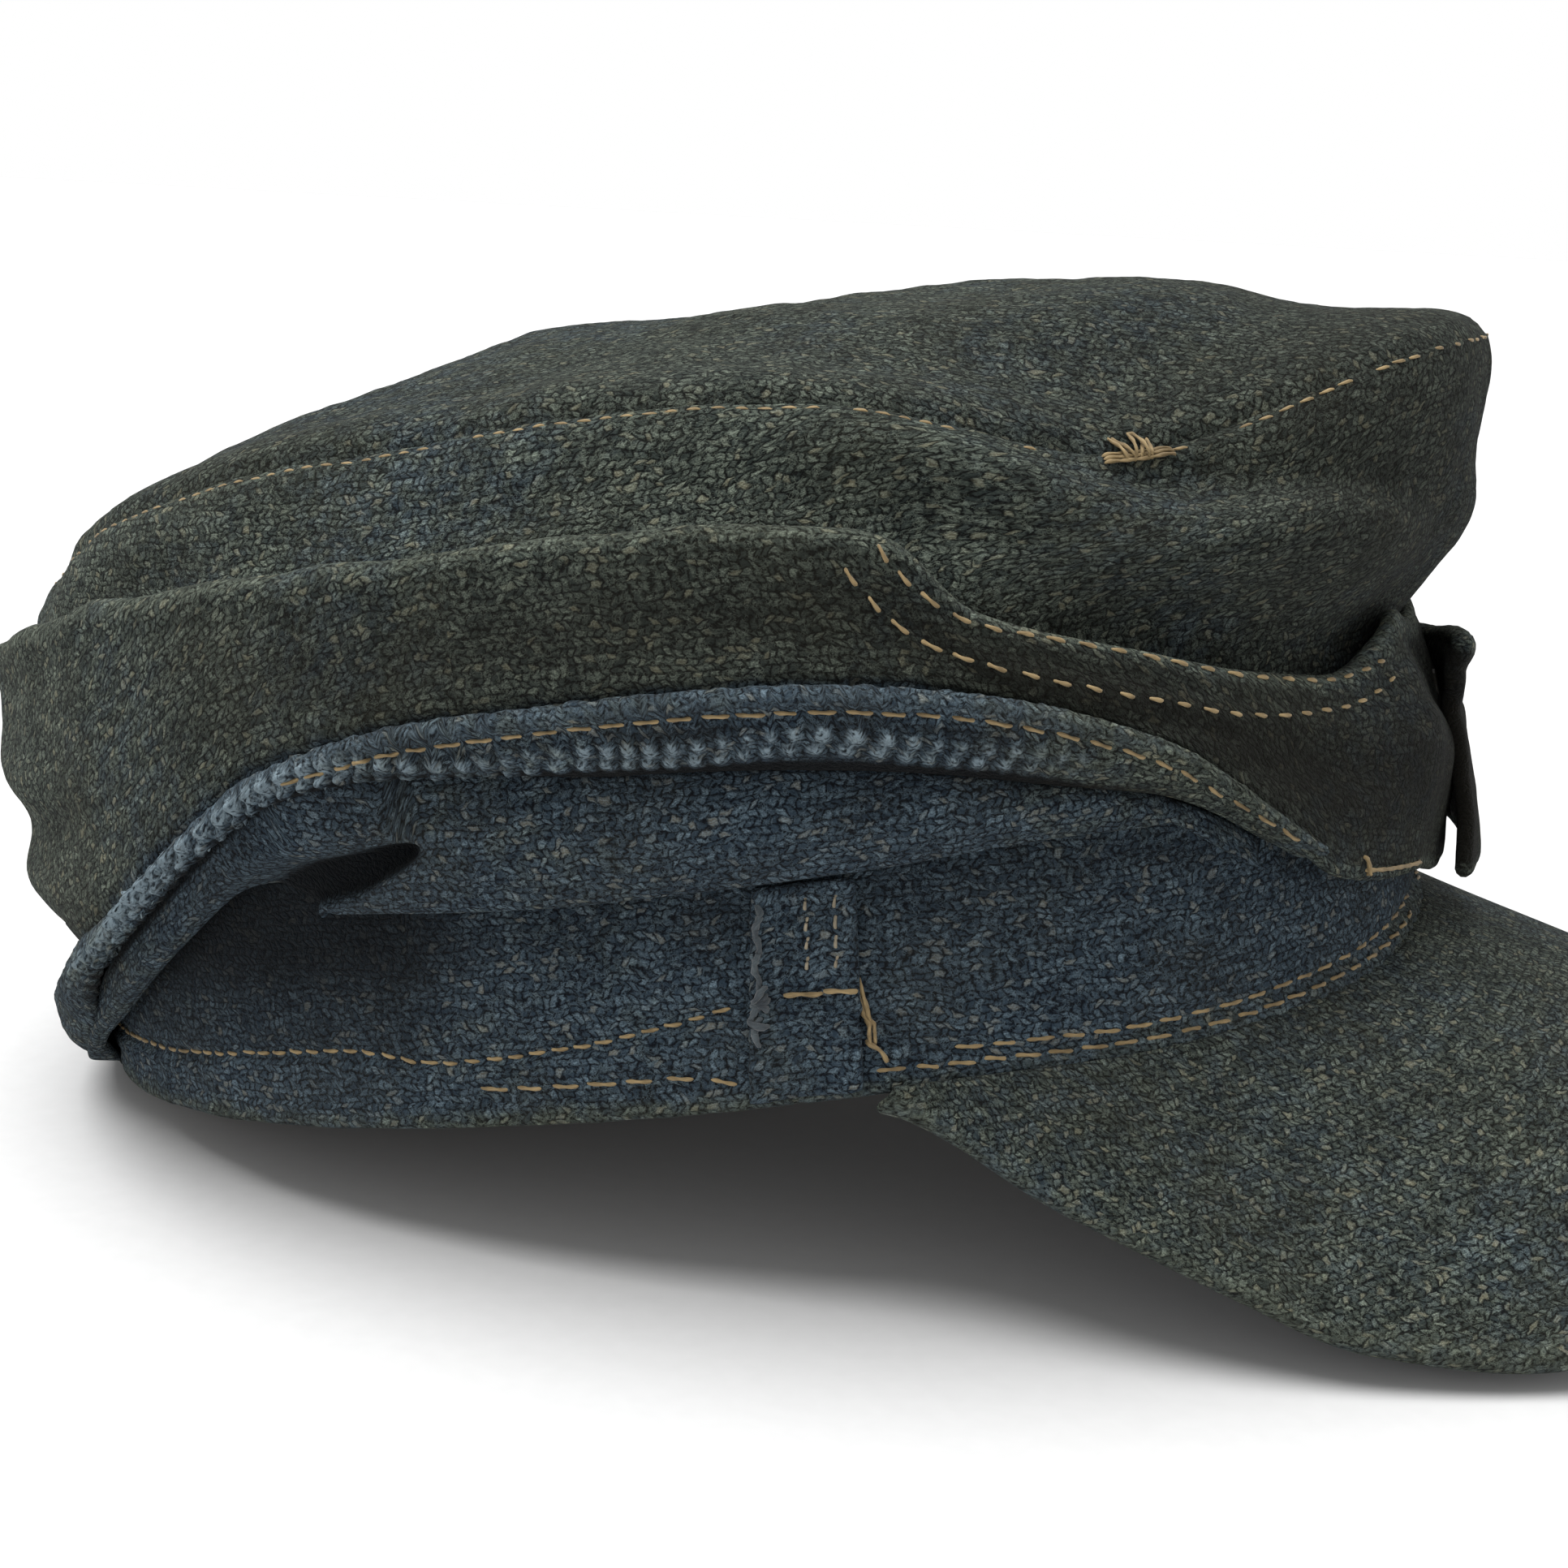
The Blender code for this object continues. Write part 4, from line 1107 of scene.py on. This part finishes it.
def strip(sign):
    def surface(across, height):
        rear, front = strip_angles(height)
        angle = rear + (front - rear) * across
        p = band(sign * angle, height)
        fold = 0.7 * bell(across, 0.93, 0.13) - 0.35 * bell(across, 0.45, 0.06)
        frayed = 0.35 * np.sin(height * 1.3) * bell(across, 0.0, 0.15)
        lift = 1.5 + fold + frayed + 0.4 * step(26, 28, height)
        return p + off_band(sign * angle, lift)
    return surface


strips = {}
for side, sign in SIDES:
    strips[side] = Sheet(strip(sign), up(0, 1, 16), up(2.2, 28.3, 40))
    cloth(f"seam_strip_{side}", strips[side].p, "unfaded_wool", "cap", [f"side_seam_strip_{side}"], thick=1.5,
          tone=0.95)

# Skirt, in lengths that each lie between two bodies
TAB_START = 45.0
HEM_END = 31.0
bodies = {}
for side, sign in SIDES:
    y = sign * EAR_HINGE_OUT
    for part, (bend_from, bend_to) in (("rear", EAR_BEND_REAR), ("front", EAR_BEND_FRONT)):
        bodies[side, part] = ("cap", f"{side}_ear_flap", (bend_from, y, 60), (bend_to, y, 60))
hinge_x, hinge_y = oval(np.array([31.0, 21.0]), SKIRT_FRONT, SKIRT_REAR, SKIRT_HALF_WIDTH)
bodies["left", "tab"] = ("cap", "front_tab", (hinge_x[0], hinge_y[0], 20), (hinge_x[1], hinge_y[1], 20))
lengths = (
    ("right", "rear", skirt, -180.0, -90.0, ("start", "end"), ["skirt_rear"]),
    ("right", "front", skirt, -90.0, RIGHT_END, ("start",), ["skirt_front_right", "ear_flap_right"]),
    ("left", "rear", skirt, 180.0, 90.0, ("start", "end"), ["skirt_rear"]),
    ("left", "front", skirt, 90.0, TAB_START, ("start", "end"), ["ear_flap_left"]),
    ("left", "tab", tab, TAB_START, TAB_END, ("start",), ["left_front_tab", "skirt_front_left"]),
)
skirts = {}
for side, part, surface, start, end, butt, nodes in lengths:
    sheet = Sheet(surface, around(start, end, 0.95), up(0, 1, 44))
    skirts[side, part] = sheet
    share = np.broadcast_to(sheet.vs, sheet.p.shape[:2])
    degrees = sheet.us[:, None]
    thick = 2.4 + 0.7 * share ** 2 - 0.7 * step(-22, -14, degrees) * (part == "front")
    edge = step(0.93, 1.0, share) + 0.6 * step(0.05, 0.0, share)
    under_fold = step(0.12, 0.0, share) * step(33, 45, from_front(degrees))
    # The skirt is paler with wear at its edges and darkened below its crest by painted shade; the tab also
    # gets painted shade towards its end and on its inner face.
    wear_and_painted_light = 0.45 * edge + skirt_painted_shade(degrees, share) * (1 - edge)
    is_tab = part == "tab"
    cloth(f"skirt_{side}_{part}", sheet.p, "faded_wool", bodies[side, part], nodes, thick=thick, butt=butt,
          tone=0.7 * under_fold,
          wear_and_painted_light=wear_and_painted_light - 0.3 * step(1.5, -4.5, degrees) * is_tab, rounding=4, inside=-0.12 * is_tab)

hems = {}
hem_lengths = (("rear", 180.0, 90.0, ("start", "end")), ("front", 90.0, HEM_END, ("start",)))
for side, sign in SIDES:
    for part, start, end, butt in hem_lengths:
        sheet = Sheet(hem, sign * around(start, end, 0.75), up(0, 1, 26))
        hems[side, part] = sheet
        a = from_front(sheet.us[:, None])
        depth = hem_depth(a)
        below = (1 - sheet.vs) * depth
        # The hem is paler with wear, most at its top edge; the puckers' tops are lightened as painted
        # highlight, and below the puckers and along the crease at the lower edge is painted shade.
        bead = hem_beads(a, below)
        painted_shade_at_crease = step(1.6, 0.2, depth - below) * step(145, 128, a) * step(34, 50, a)
        painted_shade_below_beads = step(3.2, 4.4, below) * puckered(a)
        hem_wear_and_painted_light = 0.12 + 0.3 * bell(below, 0.6, 1.3) + 3.4 * bead - 0.75 * painted_shade_below_beads - 0.9 * painted_shade_at_crease
        cloth(f"hem_{side}_{part}", sheet.p, "faded_wool", bodies[side, part], [f"hem_{side}"],
              thick=0.95 + 0.95 * step(30, 42, a), butt=butt,
              tone=0.25 + 0.6 * step(44, 58, a), wear_and_painted_light=hem_wear_and_painted_light)

# The bottom of the groove between crown and skirt
for side, sign in SIDES:
    for part, start, end, butt in (("rear", 144.0, 90.0, ("end",)), ("front", 90.0, 37.0, ("start",))):
        sheet = Sheet(groove_floor, sign * around(start, end, 1.2), up(0, 1, 14))
        # Painted shade: the groove's floor is darkened.
        cloth(f"groove_floor_{side}_{part}", sheet.p, "unfaded_wool", bodies[side, part],
              [f"inner_roll_{side}"], thick=1.2, butt=butt,
              tone=0.5, wear_and_painted_light=-0.5)

# Inner ply behind the hem
for side, sign in SIDES:
    sheet = Sheet(inner_ply, sign * around(34.0, REAR_JOIN, 0.8), up(0, 1, 34))
    a = from_front(sheet.us[:, None])
    below_hem = hem_low(a) + 1.0 - sheet.p[..., 2]
    # Painted shade: the pocket, and the inner ply just under the hem except at the rear, are darkened.
    painted_recess_shade = inner_pocket(a, sheet.p[..., 2]) + 0.9 * step(2.2, 0.6, below_hem) * step(*PUCKERS_END, a)
    cloth(f"inner_ply_{side}", sheet.p, "unfaded_wool", "cap", [f"inner_roll_{side}"], thick=1.6,
          tone=0.85, wear_and_painted_light=-0.9 * painted_recess_shade)

# Peak, whose cover turns round the rim
RIM_RADIUS = PEAK_THICK / 2
RIM_TURN = 9
peak_sides = up(-PEAK_SIDE_END, PEAK_SIDE_END, 190)
peak_top = Sheet(peak, peak_sides, up(-0.03, 1, 64))
rim = peak_top.p[:, -1]
outward = unit(rim - peak_top.p[:, -2])
turned = []
for k in range(1, RIM_TURN + 1):
    angle = math.pi * k / RIM_TURN
    turned.append(rim + RIM_RADIUS * (outward * math.sin(angle) - peak_top.n[:, -1] * (1 - math.cos(angle))))
wrapped = np.concatenate([peak_top.p, np.stack(turned, axis=1)], axis=1)
rim_worn = np.zeros(wrapped.shape[:2])
rim_worn[:, -RIM_TURN - 3:] = 0.4
cloth("peak_cover", wrapped, "faded_wool", "cap", ["peak_top_cloth"], thick=1.5,
      tone=0.1, wear_and_painted_light=rim_worn)
under = Sheet(peak, peak_sides[::2], up(-0.02, 0.975, 50))
cloth("peak_lining", under.p - under.n * (PEAK_THICK - 1.4), "unfaded_wool", "cap", ["peak_under_cloth"],
      thick=1.3, tone=0.8)
board = Sheet(peak, up(-0.97, 0.97, 120), up(0.02, 0.97, 40))
cloth("peak_stiffener", board.p - board.n * 1.55, "peak_board", "cap", ["peak_board"], thick=1.8)

# The studs get that steel, dark partly as painted shade.
for name in ("stud_post_lower", "stud_post_upper", "stud_socket_lower", "stud_socket_upper"):
    node = frame["nodes"][name]
    node.data.materials.clear()
    node.data.materials.append(STEEL)


# ---------------------------------------------------------------- thread

rng = np.random.default_rng(11)


def path_along(stations):
    """Points along a smooth curve through (u, v) stations."""
    fine = np.linspace(0, len(stations) - 1, 400)
    return (along([(k, spot[axis]) for k, spot in enumerate(stations)], fine) for axis in (0, 1))


def sew(name, sheet, u, v, pitch, length, body, material=THREAD, radius=THREAD_RADIUS, **how):
    """A row of stitches on a sheet. pitch and length are those of its stitches."""
    p, n = sheet.at(u, v)
    tubes(name, stitches(p, n, pitch, length, **how), radius, material, body, twist=1.5)


OUTER_ROW = ((16, 37), (31, 39), (43, 44.6), (52, 50), (61, 57.5), (65, 66), (66.4, 72))
INNER_ROW = ((17, 39.4), (35, 46), (46, 52), (57, 58.5), (61.5, 65), (63.6, 72))
for side, sign in SIDES:
    for label, row in (("outer", OUTER_ROW), ("inner", INNER_ROW)):
        a, h = path_along(row)
        share = share_at(skirt_low(a), skirt_top(a), h)
        if side == "right":
            sew(f"skirt_stitch_{label}_right", skirts["right", "front"], -a, share, 4.3, 3.3,
                bodies["right", "front"], fade=0.5)
            continue
        far, near = a > TAB_START + 1, a < TAB_START - 1
        sew(f"skirt_stitch_{label}_left", skirts["left", "front"], a[far], share[far], 4.3, 3.2,
            bodies["left", "front"])
        sew(f"tab_stitch_{label}", skirts["left", "tab"], a[near], share[near], 4.3, 2.4,
            bodies["left", "tab"])
    for part, end in (("rear", 103.0), ("front", HEM_END + 0.5)):
        a = np.linspace(90.0, end, 500)
        share = np.maximum(1 - 2.7 / hem_depth(a), 0.45)
        sew(f"hem_stitch_{side}_{part}", hems[side, part], sign * a, share, 4.4, 3.7, bodies[side, part])
    a = np.linspace(1.5, 178.5, 900)
    share = 1 - 1.7 / (seam_height(a) - BAND_HEIGHT - 0.6)
    sew(f"crown_stitch_{side}", walls[side], sign * a, share, 2.9, 2.1, "cap", lift=0.03, sink=0.5, skip=0.25,
        radius=THIN_THREAD_RADIUS)
    a = np.linspace(78.2, 178.0, 700)
    sew(f"band_stitch_upper_{side}", band_rear, sign * a % 360, along(BAND_ROW, a), 3.3, 2.6, "cap")
    a = np.linspace(78.2, 97.0, 200)
    sew(f"band_stitch_lower_{side}", band_rear, sign * a % 360, 5.6 - 3.0 * step(84, 74, a), 5.4, 4.6, "cap")
    for label, start, height in (("upper", 63.0, 5.2), ("lower", 69.0, 3.4)):
        a = np.linspace(start, 3.0, 400)
        sew(f"peak_stitch_{label}_{side}", band_front, sign * a, height, 4.6, 3.8, "cap")
    h = np.linspace(27.6, 16.2, 60)
    for label, across in (("rear", 0.52), ("front", 0.82)):
        sew(f"strip_stitch_{label}_{side}", strips[side], across, h, 2.6, 2.1, "cap", material=PALE_THREAD,
            radius=THIN_THREAD_RADIUS)


def strand(sheet, stations, lift):
    """A thick thread laid over a sheet through (u, v) stations, its ends sunk into the cloth."""
    u, v = path_along(stations)
    p, n = sheet.at(u, v)
    t = np.linspace(-1, 1, len(p))[:, None]
    return p + n * (lift * (1 - np.abs(t) ** 6) - 0.5 * np.abs(t) ** 6)


# The upright tack at the strip's front edge, and the yarn that frays from its rear edge
for side, sign in SIDES:
    strip_sheet = strips[side]
    lines = []
    for k in range(2):
        stations = [(0.30 + 0.4 * k, 15.0), (0.46 + 0.4 * k, 14.9), (0.66 + 0.4 * k, 14.7 - 0.2 * k)]
        lines.append(strand(strip_sheet, stations, 0.45))
    uprights = [[(69.4 - shift, 15.6), (69.0 - shift, 11.0), (68.9 - shift, 7.2)] for shift in (0.0, 0.32)]
    for stations in uprights + [[(69.1, 7.6), (68.3, 6.2), (67.9, 4.6)]]:
        lines.append(strand(band_front, [(sign * a, h) for a, h in stations], 0.7))
    tubes(f"side_tack_{side}", lines, 0.3, THREAD, "cap", twist=1.1, replaces=[f"side_bar_tack_{side}"])
    yarn = [(0.02 + 0.03 * math.sin(1.7 * k), 27.0 - 1.2 * k) for k in range(10)]
    loops = [strand(strip_sheet, yarn, 0.3)]
    for start, tip, end in ((16.4, 15.2, 14.6), (15.4, 14.6, 13.6), (14.4, 12.2, 11.6)):
        loops.append(strand(strip_sheet, [(0.10, start), (0.0, tip), (0.13, end)], 0.8))
    loops.append(strand(strip_sheet, [(0.06, 12.6), (0.02, 11.0), (0.05, 9.2)], 0.3))
    tubes(f"strip_yarn_{side}", loops, 0.42, YARN, "cap", twist=0.9)

# L-shaped tack at the lower front corner of the skirt
for side, part, sign in (("right", "front", -1.0), ("left", "tab", 1.0)):
    lines = []
    for stations in (((24.9, 17.6), (24.5, 15.6), (24.3, 13.6)), ((24.6, 15.6), (20.0, 14.0), (14.0, 12.2))):
        a, h = np.array(stations).T
        shares = share_at(skirt_low(a), skirt_top(a), h)
        lines.append(strand(skirts[side, part], list(zip(sign * a, shares)), 0.5))
    tubes(f"front_tack_{side}", lines, 0.28, THREAD, bodies[side, part], twist=1.1,
          replaces=[f"front_bar_tack_{side}"])

# Bar tack in the crown's front crease: bars, then the tuft that frays from them
lines = []
bars = [((52.2, 1.2 + d), (49.6, 1.2 + d), (47.0, 1.2 + d), 0.4) for d in (0.0, 0.45, 0.9)]
tuft = [((50.6, 1.9), (51.4, -0.5), (50.0, 2.0), 1.3), ((50.0, 1.9), (49.7, -0.5), (49.0, 2.0), 1.9),
        ((49.6, 1.9), (48.3, -0.5), (48.8, 2.0), 1.1)]
for *stations, lift in bars + tuft:
    a, below_seam = np.array(stations).T
    shares = share_at(BAND_HEIGHT + 0.6, seam_height(a), seam_height(a) - below_seam)
    lines.append(strand(walls["right"], list(zip(-a, shares)), lift))
tubes("crown_tack", lines, 0.24, THREAD, "cap", twist=1.4, replaces=["crown_bar_tack"])


# ---------------------------------------------------------------- light, floor and camera

scene = bpy.context.scene
scene.view_settings.view_transform = "Standard"
visual_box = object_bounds()

world = bpy.data.worlds.new("studio")
scene.world = world
world.use_nodes = True
sky, links = world.node_tree.nodes, world.node_tree.links
background = sky["Background"]
direction = sky.new("ShaderNodeTexCoord")
parts = sky.new("ShaderNodeSeparateXYZ")
fade = sky.new("ShaderNodeMapRange")
fade.interpolation_type = "SMOOTHSTEP"
for label, value in (("From Min", 0.36), ("From Max", 0.62), ("To Min", 1.0), ("To Max", 0.50)):
    fade.inputs[label].default_value = value
links.new(direction.outputs["Generated"], parts.inputs[0])
links.new(parts.outputs[2], fade.inputs["Value"])
links.new(fade.outputs[0], background.inputs["Strength"])
background.inputs["Color"].default_value = (1.0, 1.0, 1.0, 1.0)

lamp_data = bpy.data.lights.new("overhead", "SUN")
lamp_data.energy = 4.3
lamp_data.angle = math.radians(50)
lamp = bpy.data.objects.new("overhead", lamp_data)
lamp.rotation_euler = Vector((-0.26, -0.12, 1.0)).to_track_quat("Z", "Y").to_euler()
scene.collection.objects.link(lamp)

paper = Finish("paper_floor", roughness=0.9, specular=0.1)
fibres = paper.noise(paper.place(), 300.0, 3.0)
PAPER = paper.done(paper.mix(fibres, rgb(0.59, 0.59, 0.59), rgb(0.63, 0.63, 0.63)))
FLOOR_REACH = 6.0
floor_mesh = bpy.data.meshes.new("floor")
corners = [(x * FLOOR_REACH, y * FLOOR_REACH, 0) for x, y in ((-1, -1), (1, -1), (1, 1), (-1, 1))]
floor_mesh.from_pydata(corners, [], [(0, 1, 2, 3)])
floor_mesh.materials.append(PAPER)
floor = bpy.data.objects.new("floor", floor_mesh)
floor.location.z = min(visual_box[0][2], cad_box[0][2])
scene.collection.objects.link(floor)

# The camera stands a little in front of the wearer's right and above, and leans
CAMERA_LOOK = (8.46, 0.0, 26.83)
CAMERA_TURN = 18.8153
CAMERA_RISE = 10.1343
CAMERA_LEAN = -9.0323
CAMERA_DISTANCE = 400.0
camera_data = bpy.data.cameras.new("camera")
camera_data.sensor_width = 36.0
camera_data.lens = 58.23
camera_data.clip_start = 0.01
camera = bpy.data.objects.new("camera", camera_data)
turn, rise, lean = np.radians((CAMERA_TURN, CAMERA_RISE, CAMERA_LEAN))
back = np.array([math.sin(turn) * math.cos(rise), -math.cos(turn) * math.cos(rise), math.sin(rise)])
level = np.array([math.cos(turn), math.sin(turn), 0.0])
square = np.cross(back, level)
right = level * math.cos(lean) + square * math.sin(lean)
camera_up = np.cross(back, right)
axes = TURN @ np.stack([right, camera_up, back], axis=1)
matrix = Matrix(axes.tolist()).to_4x4()
matrix.translation = Vector(to_world(np.array(CAMERA_LOOK) + back * CAMERA_DISTANCE).tolist())
camera.matrix_world = matrix
scene.collection.objects.link(camera)
scene.camera = camera
